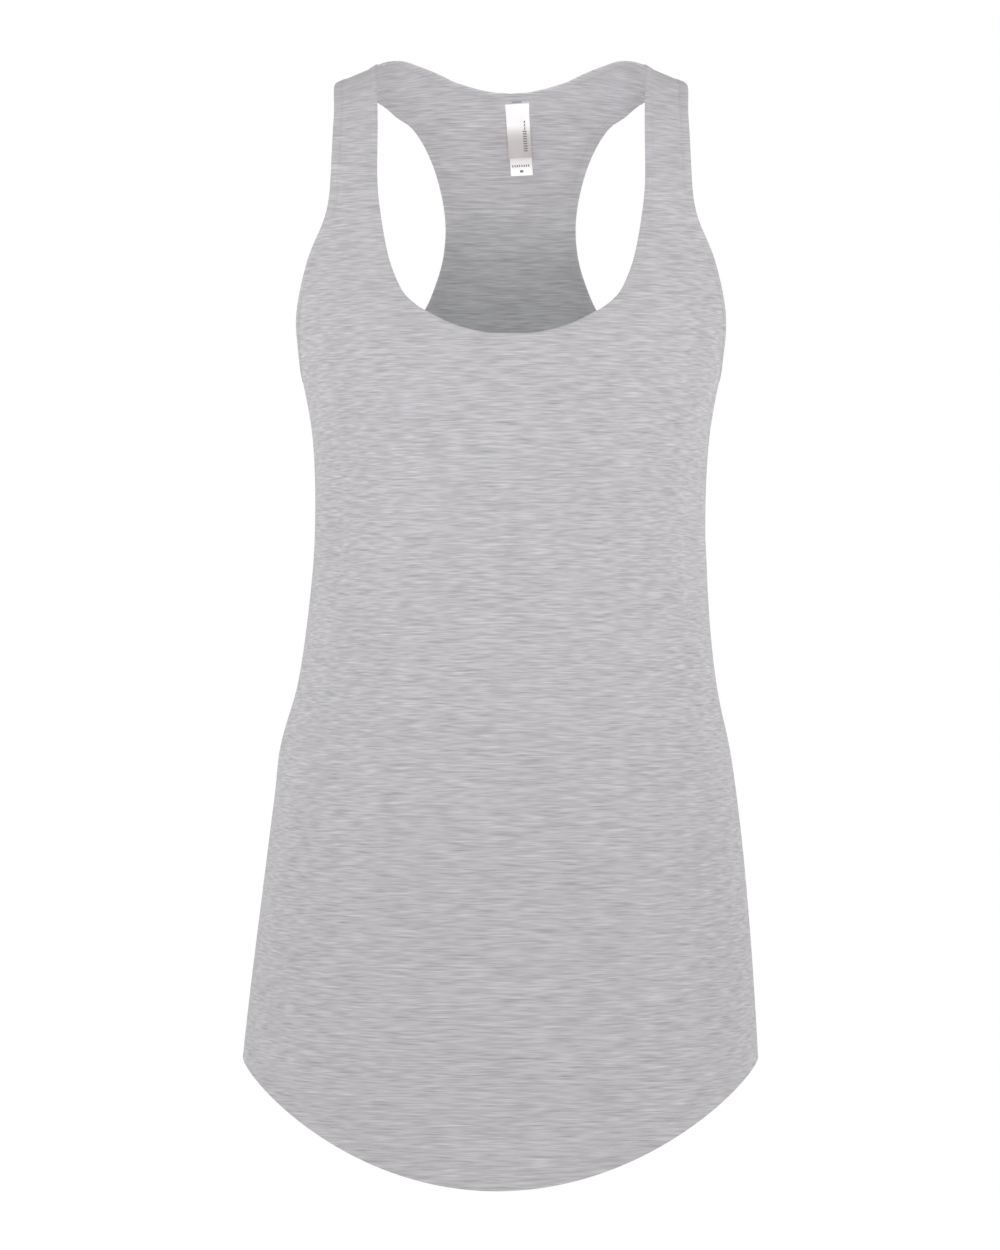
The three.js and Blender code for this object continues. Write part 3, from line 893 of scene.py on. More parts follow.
@dataclass
class Binding:
    """A narrow strip of the same cloth, folded over the cut edge and stitched down.

    Its section is one closed loop: an outer skin that is round over the finished edge, and an
    inner skin that clears the panel between its two legs. Both are (inset, height) pairs for
    one leg.
    """

    pattern: Pattern
    opening: Opening
    outer: tuple[Pair, ...] = (
        (6.0, 0.36), (5.7, 0.46), (5.2, 0.5), (4.8, 0.49), (4.4, 0.54), (3.4, 0.62), (2.2, 0.67),
        (1.2, 0.63), (0.55, 0.47), (0.15, 0.25),
    )
    inner: tuple[Pair, ...] = ((6.0, 0.3), (3.0, 0.3), (1.3, 0.3), (0.75, 0.18))
    inner_fold: float = 0.55
    stitch_inset: float = 4.8
    stitch_height: float = 0.5
    middle_inset: float = 3.0

    @property
    def name(self) -> str:
        """Name of the binding's solid."""
        if self.opening is Opening.NECK:
            return "neck_binding"
        return self.opening.value.replace("armhole", "armhole_binding")

    def loop(self) -> tuple[Array, Array]:
        """Stations round the opening, and the way into the cloth at each."""
        edge = self.pattern.neck if self.opening is Opening.NECK else self.pattern.arm
        parts = (edge.line, edge.inward)
        if self.opening is Opening.NECK:
            return tuple(np.concatenate([part, mirrored(part[1:-1])[::-1]]) for part in parts)
        if self.opening is Opening.ARMHOLE_RIGHT:
            return tuple(mirrored(part[:-1]) for part in parts)
        return tuple(part[:-1] for part in parts)

    def trail(self, inset: float, height: float) -> Trail:
        """A line round the binding, at an inset from its fold and a height over the figure."""
        line, inward = self.loop()
        return Trail.on(self.pattern.figure, line + inward * inset, height).closed()

    def build(self, cloth: Material) -> Piece:
        """Carries the section round the opening."""
        figure = self.pattern.figure
        line, inward = self.loop()
        outer, inner = np.array(self.outer), np.array(self.inner)
        other_leg = np.array([1.0, -1.0])
        section = np.concatenate(
            [
                outer, [[0.0, 0.0]], outer[::-1] * other_leg,
                inner * other_leg, [[self.inner_fold, 0.0]], inner[::-1],
            ]
        )
        stations = line[:, None] + inward[:, None] * section[None, :, :1]
        places = figure.place(stations) + figure.normal(stations) * section[None, :, 1:]
        parts = MeshParts(
            places.reshape(-1, 3),
            ring_faces(*places.shape[:2]),
            figure.chart(stations).reshape(-1, 2),
            figure.grain(stations).reshape(-1, 3),
            np.tile(np.where(section[:, 1] < 0, 1.0, 0.0), len(line)),
        )
        piece = make_piece(f"{self.opening.value}_band", parts, cloth)
        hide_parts(self.name)
        return piece

    def build_stitching(self, stitching: Stitching, thread: Material) -> Piece:
        """Makes the row of stitches that holds the binding, outside and inside."""
        outside = self.trail(self.stitch_inset, self.stitch_height)
        inside = self.trail(self.stitch_inset, -self.stitch_height).turned_in()
        parts = MeshParts.merged([stitching.row(outside), stitching.row(inside)])
        return make_piece(f"{self.opening.value}_stitching", parts, thread)


@dataclass
class SeamAllowances:
    """The overlocked edges inside the side and shoulder seams, pressed towards the back.

    near and far are the depths of a strip's two skins, and seam_clear is its distance from
    the seam. Its thickness rounds off to edge_share of itself at both long edges.
    """

    pattern: Pattern
    width: float = 6.5
    near: float = 0.32
    far: float = 0.95
    edge_share: float = 0.05
    side_rows: int = 110
    shoulder_rows: int = 24
    across_rows: int = 6
    seam_clear: float = 0.15
    hem_clear: float = 17.0
    edge_clear: float = 7.0

    def strip(self, girth: Array, reach: Array) -> MeshParts:
        """A strip of doubled cloth on the inner skin, thinner at both of its long edges."""
        stations = np.stack(np.broadcast_arrays(girth, reach), axis=-1)
        share = np.linspace(0, 1, self.across_rows)
        rounded = np.sqrt(np.clip(1 - (2 * share - 1) ** 6, self.edge_share, 1))
        inner = np.broadcast_to(-self.near - (self.far - self.near) * rounded, stations.shape[:2])
        outer = np.full_like(inner, -self.near)
        return cloth_wall(self.pattern.figure, stations, outer, inner)

    def side(self, sign: int) -> MeshParts:
        """The strip inside one side seam, from the hem's turned edge to the armhole."""
        pattern = self.pattern
        from_seam = np.linspace(self.width, self.seam_clear, self.across_rows)
        girth = pattern.figure.side_girth - from_seam
        hem = pattern.hem_reach(girth, Side.BACK) - self.hem_clear
        top = pattern.arm.line[-1, 1] + self.edge_clear
        up = np.linspace(0, 1, self.side_rows)[:, None]
        return self.strip(girth * sign, hem[None] * (1 - up) + top * up)

    def shoulder(self, sign: int) -> MeshParts:
        """The strip inside one shoulder seam, from the neck binding to the armhole's."""
        edges = (self.pattern.neck, self.pattern.arm)
        neck, arm = (edge.at(self.edge_clear)[edge.shoulder] for edge in edges)
        girth = np.linspace(neck[0], arm[0], self.shoulder_rows)[:, None] * sign
        return self.strip(girth, np.linspace(self.seam_clear, self.width, self.across_rows)[None])

    def build(self, cloth: Material) -> Piece:
        """Makes all four strips as one piece."""
        strips = [part(sign) for part in (self.side, self.shoulder) for sign in (1, -1)]
        parts = MeshParts.merged([strip.turned_out() for strip in strips])
        return make_piece("seam_allowances", parts, cloth)


@dataclass(frozen=True)
class PrintMark:
    """A plain printed bar on a label, by its near corner and size from the top left."""

    across: float
    down: float
    wide: float
    tall: float

    def repeated(self, count: int, step: float, sideways: bool = False) -> list[PrintMark]:
        """A column of such bars, or a row of them."""
        name = "across" if sideways else "down"
        return [replace(self, **{name: getattr(self, name) + step * n}) for n in range(count)]


@dataclass
class Label:
    """A strip sewn in under the back neck binding, which hangs inside the back.

    Its depth inside the cloth starts at a touch, nears its clearance by an exponential, and
    grows with the square of the way down. It also bows a little across. slack is the flat
    length over the length down the back, and the print lies between two depths over its face.
    """

    pattern: Pattern
    name: str
    slot: str
    width: float
    length: float
    clearance: float
    lift: float
    bow: float
    start: float
    marks: Sequence[PrintMark] = ()
    thick: float = 0.22
    top_fall: float = 41.5
    top_shift: float = 4.2
    lean: float = 0.075
    lift_across: float = 0.045
    settle: float = 0.12
    tack_depth: float = 0.62
    tack_points: int = 9
    slack: float = 1.11
    print_depths: Pair = (0.005, 0.035)
    facets: tuple[int, int] = (16, 56)
    print_facets: tuple[int, int] = (3, 6)

    def stations(self, across: Array, down: Array) -> Array:
        """Stations for places on the label, from its top centre."""
        figure = self.pattern.figure
        girth = self.top_shift + self.lean * down + across
        top = figure.ridge(np.float64(self.top_shift / figure.girth_radius)) - self.top_fall
        level = top - down + self.lift_across * across
        reach = figure.reach(Side.BACK, figure.ridge(girth / figure.girth_radius) - level)
        return np.stack(np.broadcast_arrays(girth, reach), axis=-1)

    def depth(self, across: Array, down: Array) -> Array:
        """Depth of the label's middle inside the cloth."""
        share = down / self.length
        out = 1 - np.exp(-share / self.settle)
        curl = self.bow * (2 * across / self.width) ** 2 * out
        return self.start + self.clearance * out + self.lift * share**2 + curl

    def patch(self, corner: Pair, size: Pair, facets: tuple[int, int], face: Pair) -> MeshParts:
        """A patch of the label between two depths, measured from its middle.

        Args:
            corner: Its top left corner, across from the centre and down from the top.
            size: Its width and height.
            facets: Facets across and down.
            face: Heights of its two skins over the label's middle, the outer one first.

        Returns:
            The closed patch.
        """
        (left, top), (wide, tall) = corner, size
        across, down = np.meshgrid(
            np.linspace(left, left + wide, facets[0] + 1),
            np.linspace(top, top + tall, facets[1] + 1),
        )
        middle = -self.depth(across, down)
        chart = np.stack([across + self.width / 2, self.length - down], axis=-1)
        skins = (middle + height for height in face)
        return cloth_wall(self.pattern.figure, self.stations(across, down), *skins, chart)

    def build(self, finish: Material) -> Piece:
        """Makes the strip."""
        face = (self.thick / 2, -self.thick / 2)
        corner, size = (-self.width / 2, 0), (self.width, self.length)
        parts = self.patch(corner, size, self.facets, face)
        piece = make_piece(f"{self.name}_ribbon", parts, finish)
        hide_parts(self.name)
        return piece

    def build_print(self, ink: Material) -> Piece:
        """Makes the printed bars, a hair proud of the side that faces into the top."""
        face = [-self.thick / 2 - depth for depth in self.print_depths]
        parts = []
        for mark in self.marks:
            corner, size = (mark.across - self.width / 2, mark.down), (mark.wide, mark.tall)
            parts.append(self.patch(corner, size, self.print_facets, face).turned_out())
        return make_piece(f"{self.name}_print", MeshParts.merged(parts), ink)

    def build_tack_and_painted_shadow(
        self, part: str, stretches: Sequence[Pair], rise: float, stitching: Stitching,
        thread: Material,
    ) -> Piece:
        """Makes stitches that hold the label's top, on the binding just over it.

        Args:
            part: What to call them, after the label's name.
            stretches: Where each row starts and ends across, from the label's centre.
            rise: How far over the label's top they lie.
            stitching: The stitch.
            thread: Its material.

        Returns:
            The stitches as one piece.
        """
        rows = []
        for stretch in stretches:
            across = np.linspace(*stretch, self.tack_points)
            stations = self.stations(across, np.full_like(across, -rise))
            trail = Trail.on(self.pattern.figure, stations, -self.tack_depth)
            rows.append(stitching.row(trail.turned_in()))
        return make_piece(f"{self.name}_{part}", MeshParts.merged(rows), thread)


@dataclass(frozen=True)
class Value:
    """A number in a material. Used in an expression, it adds the Math nodes that it needs."""

    paint: Paint
    socket: Socket

    def math(self, operation: str, *others: Value | float) -> Value:
        """Adds a Math node with this value first."""
        return self.paint.math(operation, self, *others)

    def __add__(self, other: Value | float) -> Value:
        """Sum."""
        return self.math("ADD", other)

    __radd__ = __add__

    def __sub__(self, other: Value | float) -> Value:
        """Difference."""
        return self.math("SUBTRACT", other)

    def __rsub__(self, other: float) -> Value:
        """Difference from a plain number."""
        return self.paint.math("SUBTRACT", other, self)

    def __mul__(self, other: Value | float) -> Value:
        """Product."""
        return self.math("MULTIPLY", other)

    __rmul__ = __mul__

    def __truediv__(self, other: Value | float) -> Value:
        """Quotient."""
        return self.math("DIVIDE", other)

    def sine(self) -> Value:
        """Sine."""
        return self.math("SINE")

    def held(self) -> Value:
        """Held between zero and one."""
        return self.math("MAXIMUM", 0.0).math("MINIMUM", 1.0)


Input = Value | Socket | float | Sequence[float]


class Paint:
    """A new material and the nodes in it."""

    def __init__(self, name: str) -> None:
        """Starts a material with a surface shader and an output."""
        self.material = bpy.data.materials.new(name)
        self.material.use_nodes = True
        self.tree = self.material.node_tree
        self.tree.nodes.clear()
        self.surface = self.node("ShaderNodeBsdfPrincipled", {}, {})
        self.node("ShaderNodeOutputMaterial", {}, {"Surface": self.surface.outputs["BSDF"]})

    def node(
        self, kind: str, settings: Mapping[str, object], inputs: Mapping[int | str, Input]
    ) -> bpy.types.Node:
        """Adds a node.

        Args:
            kind: The node's type.
            settings: Its settings, set before its sockets.
            inputs: A number, colour, value or socket for each named or numbered socket.

        Returns:
            The node.
        """
        node = self.tree.nodes.new(kind)
        for name, setting in settings.items():
            setattr(node, name, setting)
        for name, given in inputs.items():
            self.feed(node.inputs[name], given)
        return node

    def feed(self, socket: Socket, given: Input) -> None:
        """Links or sets one socket."""
        if isinstance(given, Value):
            given = given.socket
        if isinstance(given, Socket):
            self.tree.links.new(given, socket)
        else:
            socket.default_value = given

    def math(self, operation: str, *inputs: Value | float) -> Value:
        """Adds a Math node."""
        numbered = dict(enumerate(inputs))
        node = self.node("ShaderNodeMath", {"operation": operation}, numbered)
        return Value(self, node.outputs[0])

    def vector(self, operation: str, inputs: Mapping[int | str, Input]) -> Socket:
        """Adds a Vector Math node."""
        return self.node("ShaderNodeVectorMath", {"operation": operation}, inputs).outputs[0]

    def axes(self, vector: Input) -> list[Value]:
        """The three numbers of a vector."""
        node = self.node("ShaderNodeSeparateXYZ", {}, {0: vector})
        return [Value(self, output) for output in node.outputs]

    def attribute(self, name: str, output: str) -> Socket:
        """One of the mesh's own attributes."""
        return self.node("ShaderNodeAttribute", {"attribute_name": name}, {}).outputs[output]

    def object_place(self) -> Socket:
        """The place on the object, in metres."""
        return self.node("ShaderNodeTexCoord", {}, {}).outputs["Object"]

    def cloth(self) -> tuple[Socket, Socket]:
        """The cloth's chart, and the same place as three lengths."""
        chart = self.node("ShaderNodeUVMap", {"uv_map": CHART}, {})
        return chart.outputs["UV"], self.attribute(GRAIN, "Vector")

    def scaled(self, vector: Input, scale: Input, shift: Input = (0, 0, 0)) -> Socket:
        """A vector times one scale for each axis, plus a shift."""
        return self.vector("MULTIPLY_ADD", {0: vector, 1: scale, 2: shift})

    def noise(self, at: Input, detail: float = 1.0, roughness: float = 0.5) -> Value:
        """Smooth noise, taken about zero."""
        inputs = {"Vector": at, "Scale": 1.0, "Detail": detail, "Roughness": roughness}
        return Value(self, self.node("ShaderNodeTexNoise", {}, inputs).outputs[0]) - 0.5

    def patches(self, at: Input, spread: float, detail: float = 1.0) -> Value:
        """Smooth noise spread about one half, and held between zero and one."""
        return (self.noise(at, detail) * spread + 0.5).held()

    def mixed(self, factor: Input, first: Input, second: Input) -> Socket:
        """A colour between two."""
        inputs = {"Factor": factor, 6: first, 7: second}
        return self.node("ShaderNodeMix", {"data_type": "RGBA"}, inputs).outputs[2]

    def ramp(self, factor: Input, stops: Sequence[tuple[float, Sequence[float]]]) -> Socket:
        """A colour ramp with its stops."""
        node = self.node("ShaderNodeValToRGB", {}, {0: factor})
        elements = node.color_ramp.elements
        while len(elements) < len(stops):
            elements.new(1.0)
        for element, (position, colour) in zip(elements, stops):
            element.position = position
            element.color = (*colour, 1.0)
        return node.outputs[0]

    def bump(self, strength: float, distance: float, height: Value) -> Socket:
        """A normal that a height bends."""
        inputs = {"Strength": strength, "Distance": distance, "Height": height}
        return self.node("ShaderNodeBump", {}, inputs).outputs["Normal"]

    def dress(self, **inputs: Input) -> Material:
        """Sets the surface shader's sockets, with underscores for the spaces in their names."""
        for name, given in inputs.items():
            self.feed(self.surface.inputs[name.replace("_", " ")], given)
        return self.material


def linear(red: float, green: float, blue: float, share: float = 1.0) -> tuple[float, ...]:
    """A screen colour of 0 to 255 as a linear one, times a share."""
    screen = np.array([red, green, blue]) / 255
    light = np.where(screen <= 0.04045, screen / 12.92, ((screen + 0.055) / 1.055) ** 2.4)
    return (*(float(part * share) for part in light), 1.0)


@dataclass(frozen=True)
class HeatherJersey:
    """Light grey heather jersey: short wavy level streaks, lighter and darker, and fine knit.

    A streak's size is its length and its height, in metres. Painted shading: (height, share)
    pairs.
    A seed shifts each noise that is made of streaks, so that no two agree.
    """

    name: str
    colour: Triple = (192.4, 190.1, 192.9)
    warm: Triple = (1.012, 0.998, 0.985)
    cool: Triple = (0.988, 1.002, 1.015)
    streak: Pair = (0.0158, 0.00098)
    broad: Pair = (0.028, 0.0022)
    fleck: Pair = (0.012, 0.00066)
    seeds: tuple[float, ...] = (3.1, 17.3, 41.7, 71.9)
    wave: float = 0.0005
    wave_scale: Triple = (28, 28, 45)
    cloud_scale: Triple = (9, 9, 7)
    streak_strength: float = 0.71
    broad_strength: float = 0.15
    fleck_strength: float = 0.44
    cloud_strength: float = 0.05
    tint_spread: float = 1.6
    bump_strength: float = 0.25
    bump_distance: float = 0.00012
    streak_bump: float = 1.5
    # Painted shade on the outer skin: darker by height towards the hem.
    outside_painted_shade: tuple[Pair, ...] = (
        (-0.69, 0.865), (-0.5, 0.893), (-0.4, 0.945), (-0.3, 0.975), (-0.15, 0.98), (0, 1.005)
    )
    # Painted light and shade on the inner skin: lighter at the top, darker deeper inside.
    inside_painted_light_and_shade: tuple[Pair, ...] = (
        (-0.69, 0.87), (-0.15, 0.955), (-0.131, 0.935), (-0.113, 0.905), (-0.082, 1.03),
        (-0.035, 1.135), (-0.01, 1.21), (0.011, 1.27)
    )
    # Painted shade's cooler colour on the inner skin, faded in between these two heights.
    painted_shade_cast: Triple = (1.0, 1.04, 1.035)
    deep_from: float = -0.16
    deep_to: float = -0.06
    stitch: Pair = (0.0011, 0.0008)

    def build(self) -> Material:
        """Makes the material.

        The brightness is one plus streaks, broad streaks, flecks and faint clouds, each a
        noise stretched sideways. The level that they are taken at waves gently.
        """
        paint = Paint(self.name)
        chart, grain = paint.cloth()
        wave = paint.noise(paint.scaled(grain, self.wave_scale)) * self.wave
        lifted = paint.node("ShaderNodeCombineXYZ", {}, {"Z": wave}).outputs[0]
        waved = paint.vector("ADD", {0: grain, 1: lifted})
        sizes = (self.streak, self.broad, self.fleck, self.broad)
        fine, wide, tiny, tinted = (
            paint.scaled(waved, (1 / length, 1 / length, 1 / tall), (seed, seed, seed))
            for (length, tall), seed in zip(sizes, self.seeds)
        )
        streaks = paint.noise(fine, detail=1.2, roughness=0.55)
        light = (
            1
            + streaks * self.streak_strength
            + paint.noise(wide) * self.broad_strength
            + paint.noise(tiny, detail=0.5) * self.fleck_strength
            + paint.noise(paint.scaled(grain, self.cloud_scale)) * self.cloud_strength
        )
        tint = paint.patches(tinted, self.tint_spread)
        height = paint.axes(paint.object_place())[2]
        inside = Value(paint, paint.attribute(INSIDE, "Fac")).held()
        plain = linear(*self.colour)
        warm, cool = (
            (*(part * share for part, share in zip(plain, cast)), 1.0)
            for cast in (self.warm, self.cool)
        )
        # The yarn's tint, times a painted cooler shade deep inside.
        yarn_tint_and_painted_cast = paint.scaled(paint.mixed(tint, warm, cool), self.cast(paint, height, inside))
        # Heather streaks, times painted light and shade by height.
        shade = light * self.tone(paint, height, inside)
        relief = self.knit(paint, chart) + streaks * self.streak_bump
        return paint.dress(
            Base_Color=paint.vector("SCALE", {0: yarn_tint_and_painted_cast, "Scale": shade}),
            Roughness=0.92,
            Specular_IOR_Level=0.2,
            Sheen_Weight=0.14,
            Sheen_Roughness=0.6,
            Normal=paint.bump(self.bump_strength, self.bump_distance, relief),
        )

    def cast(self, paint: Paint, height: Value, inside: Value) -> Socket:
        """Painted shade's colour: none outside, and a little cooler deep inside."""
        depth = ((self.deep_to - height) / (self.deep_to - self.deep_from)).held()
        return paint.mixed(depth * inside, WHITE, (*self.painted_shade_cast, 1.0))

    def tone(self, paint: Paint, height: Value, inside: Value) -> Value:
        """Painted shade lower down, outside and inside, and painted light at the inside's top."""
        share = (height - PAINTED_SHADING_FROM) / PAINTED_SHADING_SPAN
        ramps = []
        for painted_shading in (self.outside_painted_shade, self.inside_painted_light_and_shade):
            stops = [((at - PAINTED_SHADING_FROM) / PAINTED_SHADING_SPAN, (tone / 2,) * 3) for at, tone in painted_shading]
            ramps.append(Value(paint, paint.ramp(share, stops)) * 2)
        return ramps[0] + (ramps[1] - ramps[0]) * inside

    def knit(self, paint: Paint, chart: Socket) -> Value:
        """Height of the knit: a wave across each wale, times one along each course."""
        across, level, _ = paint.axes(chart)
        wale = across * (2 * math.pi / self.stitch[0])
        course = level * (2 * math.pi / self.stitch[1])
        return wale.sine() * 0.5 + (course + wale.sine() * 1.2).sine() * 0.5


@dataclass(frozen=True)
class Thread:
    """Sewing thread dyed to the cloth, or a label's tack, its darker grey partly painted shadow.

    shades are the darkest and the lightest stitch, as shares of the colour.
    """

    name: str
    colour: Triple
    scale: Triple = (240, 240, 240)
    spread: float = 1.5
    shades: Pair = (0.95, 1.05)

    def build(self) -> Material:
        """Makes the material, with a faint change of tone from stitch to stitch."""
        paint = Paint(self.name)
        tone = paint.patches(paint.scaled(paint.cloth()[1], self.scale), self.spread, detail=0.0)
        dark, light = (linear(*self.colour, shade) for shade in self.shades)
        return paint.dress(
            Base_Color=paint.mixed(tone, dark, light),
            Roughness=0.6,
            Specular_IOR_Level=0.3,
            Sheen_Weight=0.1,
        )


@dataclass(frozen=True)
class LabelCloth:
    """Label ribbon whose painted shade changes down its length, woven fine, with a satin gloss.

    The painted shading is (share of the length from the top, screen colour) pairs.
    """

    name: str
    length: float
    painted_shading: tuple[tuple[float, Triple], ...]
    gloss: float
    # A faint glow in the ribbon's own colours: painted light.
    painted_glow: float = 0.2
    weave_scale: Triple = (900, 5200, 1)
    weave_strength: float = 0.05
    cloud_scale: Triple = (120, 120, 120)
    cloud_strength: float = 0.03

    def build(self) -> Material:
        """Makes the material."""
        paint = Paint(self.name)
        chart, grain = paint.cloth()
        down = 1 - paint.axes(chart)[1] / (self.length * MM)
        ramp = paint.ramp(down, [(at, linear(*colour)[:3]) for at, colour in self.painted_shading])
        weave = paint.noise(paint.scaled(chart, self.weave_scale))
        clouds = paint.noise(paint.scaled(grain, self.cloud_scale))
        light = 1 + weave * self.weave_strength + clouds * self.cloud_strength
        colour = paint.vector("SCALE", {0: ramp, "Scale": light})
        return paint.dress(
            Base_Color=colour,
            Roughness=self.gloss,
            Specular_IOR_Level=0.5,
            Sheen_Weight=0.2,
            # Painted light: the ribbon glows faintly in its own colours.
            Emission_Color=colour,
            Emission_Strength=self.painted_glow,
            Normal=paint.bump(0.15, 0.00005, weave),
        )


@dataclass(frozen=True)
class Ink:
    """Grey ink of the plain bars on the labels."""

    name: str = "label_ink"
    colour: Triple = (128, 124, 126)
    scale: Triple = (1500, 1500, 1)
    spread: float = 1.5
    shades: Pair = (0.9, 1.15)

    def build(self) -> Material:
        """Makes the material, a little uneven as print is."""
        paint = Paint(self.name)
        patch = paint.patches(paint.scaled(paint.cloth()[0], self.scale), self.spread)
        dark, light = (linear(*self.colour, shade) for shade in self.shades)
        return paint.dress(Base_Color=paint.mixed(patch, dark, light), Roughness=0.6)


@dataclass
class Studio:
    """A plain white room: even light, eight soft lamps, a pale floor and the camera.

    Each lamp has its name, place, size in metres and power in watts.
    """

    eye: Triple = (-0.0069, -2.8, -0.3459)
    lens: float = 128.0
    sensor: float = 36.0
    floor_height: float = -1.38
    floor_radius: float = 3.6
    floor_thick: float = 0.02
    floor_sides: int = 96
    floor_dark: Triple = (118, 118, 119)
    floor_light: Triple = (124, 124, 125)
    floor_glow: Triple = (240, 240, 241)
    even_light: float = 0.5
    lamps: tuple[tuple[str, Triple, float, float], ...] = (
        ("front_lamp", (0.0, -3.4, -0.3), 2.0, 34.0),
        ("low_lamp", (0.0, -2.3, -1.3), 1.2, 7.6),
        ("over_lamp", (0.0, -1.4, 1.3), 1.0, 4.2),
        ("top_lamp", (0.0, 0.0, 2.2), 1.6, 3.0),
        ("left_lamp", (-2.8, 0.0, 0.0), 2.0, 17.5),
        ("right_lamp", (2.8, 0.0, 0.0), 2.0, 17.5),
        ("left_rear_lamp", (-2.2, 2.3, -0.4), 1.4, 21.0),
        ("right_rear_lamp", (2.2, 2.3, -0.4), 1.4, 23.0),
    )
    target: Triple = (0.0, 0.0, -0.25)

    def build(self) -> None:
        """Makes the light, the floor and the camera."""
        scene = bpy.context.scene
        scene.view_settings.view_transform = "Standard"
        scene.world = self.room()
        for lamp in self.lamps:
            self.lamp(*lamp)
        self.floor()
        data = bpy.data.cameras.new("camera")
        data.lens, data.sensor_width = self.lens, self.sensor
        camera = bpy.data.objects.new("camera", data)
        camera.location = self.eye
        camera.rotation_euler = (math.pi / 2, 0, 0)
        scene.collection.objects.link(camera)
        scene.camera = camera

    def room(self) -> bpy.types.World:
        """A white backdrop that gives less light than it shows."""
        world = bpy.data.worlds.new("white_room")
        world.use_nodes = True
        tree = world.node_tree
        background = tree.nodes["Background"]
        background.inputs["Color"].default_value = WHITE
        path = tree.nodes.new("ShaderNodeLightPath")
        strength = tree.nodes.new("ShaderNodeMapRange")
        strength.inputs["To Min"].default_value = self.even_light
        tree.links.new(path.outputs["Is Camera Ray"], strength.inputs["Value"])
        tree.links.new(strength.outputs["Result"], background.inputs["Strength"])
        return world

    def lamp(self, name: str, place: Triple, size: float, power: float) -> None:
        """Makes a square soft lamp that faces the top."""
        data = bpy.data.lights.new(name, "AREA")
        data.shape, data.size, data.energy = "SQUARE", size, power
        lamp = bpy.data.objects.new(name, data)
        lamp.location = place
        aim = Vector(self.target) - Vector(place)
        lamp.rotation_euler = aim.to_track_quat("-Z", "Y").to_euler()
        lamp.visible_camera = False
        bpy.context.scene.collection.objects.link(lamp)

    def floor(self) -> None:
        """Makes a thin round slab of a floor, well below the top."""
        sides = self.floor_sides
        turn = np.linspace(0, 2 * np.pi, sides + 1)[:-1]
        flat = self.floor_radius * np.stack([np.cos(turn), np.sin(turn), 0 * turn], axis=1)
        rings = [
            flat + [0, 0, height]
            for height in (self.floor_height - self.floor_thick, self.floor_height)
        ]
        around = [(i, (i + 1) % sides, sides + (i + 1) % sides, sides + i) for i in range(sides)]
        faces = [tuple(range(sides - 1, -1, -1)), tuple(range(sides, 2 * sides)), *around]
        mesh = bpy.data.meshes.new("floor")
        mesh.from_pydata(np.concatenate(rings).tolist(), [], faces)
        paint = Paint("pale_floor")
        speck = paint.patches(paint.object_place(), 0.6, 3.0)
        finish = paint.dress(
            Base_Color=paint.mixed(speck, linear(*self.floor_dark), linear(*self.floor_light)),
            Roughness=0.9,
            Specular_IOR_Level=0.1,
            Emission_Color=linear(*self.floor_glow),
            Emission_Strength=0.72,
        )
        mesh.materials.append(finish)
        floor = bpy.data.objects.new("floor", mesh)
        bpy.context.scene.collection.objects.link(floor)


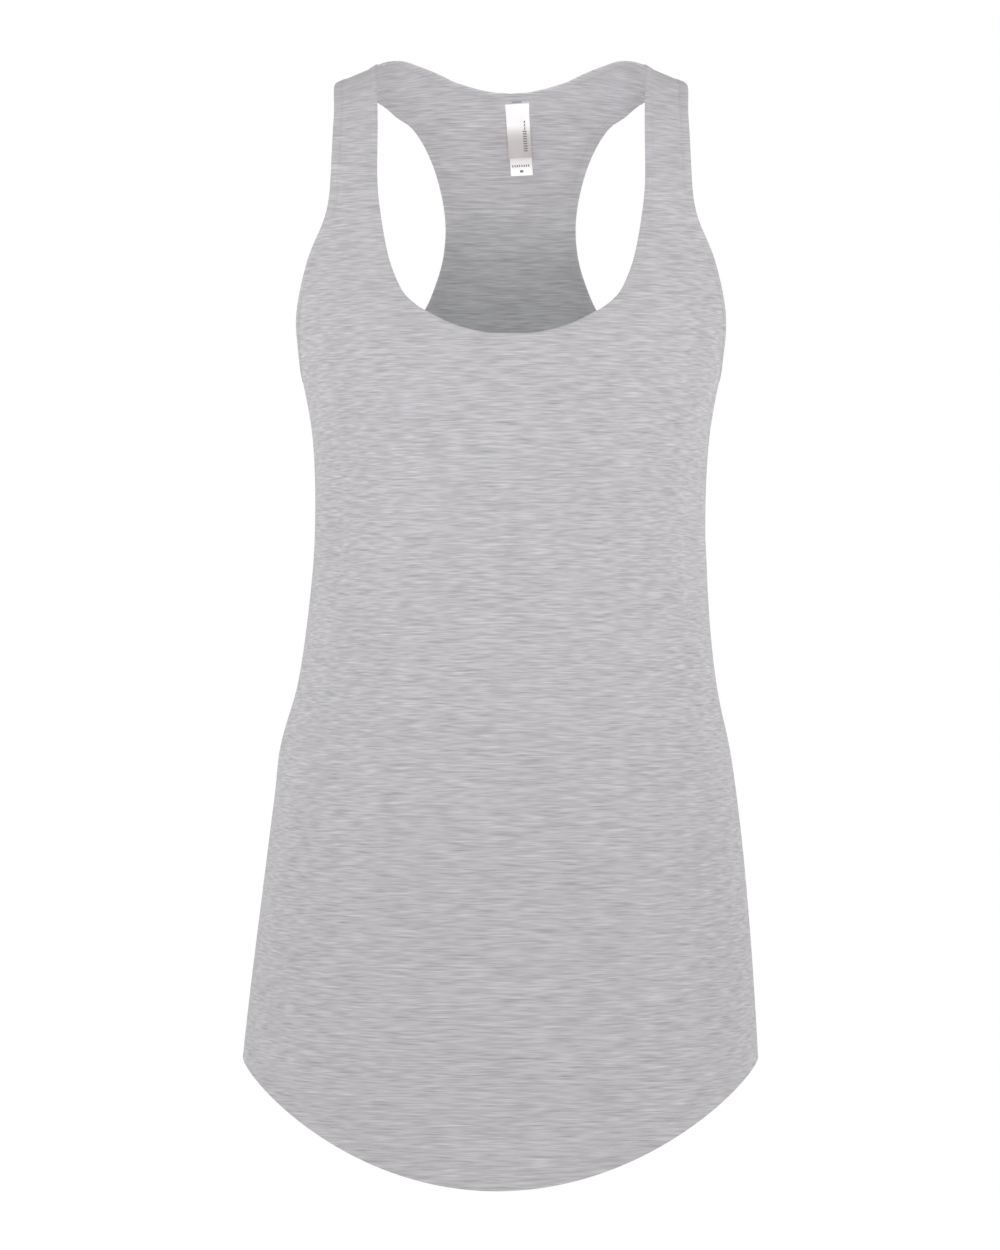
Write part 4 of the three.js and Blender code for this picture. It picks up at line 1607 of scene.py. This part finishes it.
@dataclass
class TankTop:
    """The whole top. Flat sizes and areas are in metres."""

    pattern: Pattern = field(default_factory=Pattern)
    stitching: Stitching = field(default_factory=Stitching)
    panel_flat: Pair = (0.48, 0.74)
    front_area: float = 0.2125
    back_area: float = 0.2045
    binding_width: float = 0.0125

    def build_panels(self, cloth: Material, thread: Material) -> None:
        """Makes the front and the back, with the seam allowances that lie on the back."""
        for side, area in ((Side.FRONT, self.front_area), (Side.BACK, self.back_area)):
            panel = Panel(self.pattern, side)
            piece = panel.build(cloth)
            extras = [panel.build_hem_stitching(self.stitching, thread)]
            if side is Side.BACK:
                extras.append(SeamAllowances(self.pattern).build(cloth))

    def build_bindings(self, cloth: Material, thread: Material) -> None:
        """Makes the three bindings and their stitches."""
        for opening in Opening:
            binding = Binding(self.pattern, opening)
            piece = binding.build(cloth)
            stitches = binding.build_stitching(self.stitching, thread)
            length = binding.trail(binding.middle_inset, 0).lengths[-1]
            log.info("%s: %.0f mm round", binding.name, length)
            length * MM

    def build_labels(self, ink: Material, tack_and_painted_shadow: Material, pale: Material) -> None:
        """Makes the satin label, the longer narrow tab behind it, and all that is on them."""
        bars = PrintMark(across=10.4, down=15.3, wide=2.6, tall=0.75).repeated(9, 1.5)
        ticks = PrintMark(across=11.5, down=9.2, wide=0.8, tall=1.4).repeated(3, 2)
        dashes = PrintMark(across=1.3, down=37.2, wide=0.75, tall=1.5).repeated(8, 1.5, True)
        dot = PrintMark(across=6.2, down=40.6, wide=2.2, tall=1.6)
        main = Label(
            self.pattern, "main_label", "label_satin", width=15.5, length=32, clearance=2.1,
            lift=2.6, bow=0.5, start=0.95, marks=[*bars, *ticks],
        )
        size = Label(
            self.pattern, "size_label", "label_tape", width=14.5, length=44.2, clearance=0.9,
            lift=1.3, bow=0.25, start=0.5, marks=[*dashes, dot],
        )
        # Painted shade: the satin label is white at the top and painted grey down its lower half.
        satin = LabelCloth(
            "label_satin", main.length,
            ((0, (254, 253, 253)), (0.37, (254, 252, 252)), (0.46, (231, 227, 226)),
             (0.56, (207, 202, 201)), (0.68, (192, 186, 185)), (1, (179, 173, 172))),
            gloss=0.35,
        )
        # Painted shadow: the tab is darker where it hangs behind the main label, white below it.
        tape = LabelCloth(
            "label_tape", size.length,
            ((0, (236, 233, 233)), (0.76, (230, 226, 226)), (0.86, (240, 237, 237)),
             (0.93, (253, 252, 252)), (1, (254, 253, 253))),
            gloss=0.5,
        )
        dense, loose = Stitching(pitch=0.8, radius=0.3), Stitching(pitch=1.2, radius=0.24)
        for label, finish in ((main, satin), (size, tape)):
            strip = label.build(finish.build())
            extras = [label.build_print(ink)]
            if label is main:
                extras += [
                    # The tack's darker grey thread also stands for the shadow in the slot under
                    # the binding.
                    label.build_tack_and_painted_shadow("tack_and_painted_shadow", [(-3.6, 2.7)], 0.9, dense, tack_and_painted_shadow),
                    label.build_tack_and_painted_shadow("stitches", [(-7.5, -3.7), (2.8, 7.6)], 1.1, loose, pale),
                ]
            label.width * MM
            label.length * label.slack * MM

    def build(self) -> None:
        """Makes every piece."""
        cloth = HeatherJersey("heather_jersey").build()
        thread = Thread("jersey_thread", (190, 188, 191)).build()
        # Darker grey thread for the tack, partly painted shadow under the neck binding.
        tack_and_painted_shadow = Thread("tack_thread_and_painted_shadow", (165, 164, 167)).build()
        pale = Thread("label_thread", (246, 244, 245)).build()
        self.build_panels(cloth, thread)
        self.build_bindings(cloth, thread)
        self.build_labels(Ink().build(), tack_and_painted_shadow, pale)


def main() -> None:
    """Builds the studio and the top."""
    logging.basicConfig(level=logging.INFO, format="%(message)s")
    Studio().build()
    TankTop().build()
    bpy.context.view_layer.update()


if __name__ == "__main__":
    main()
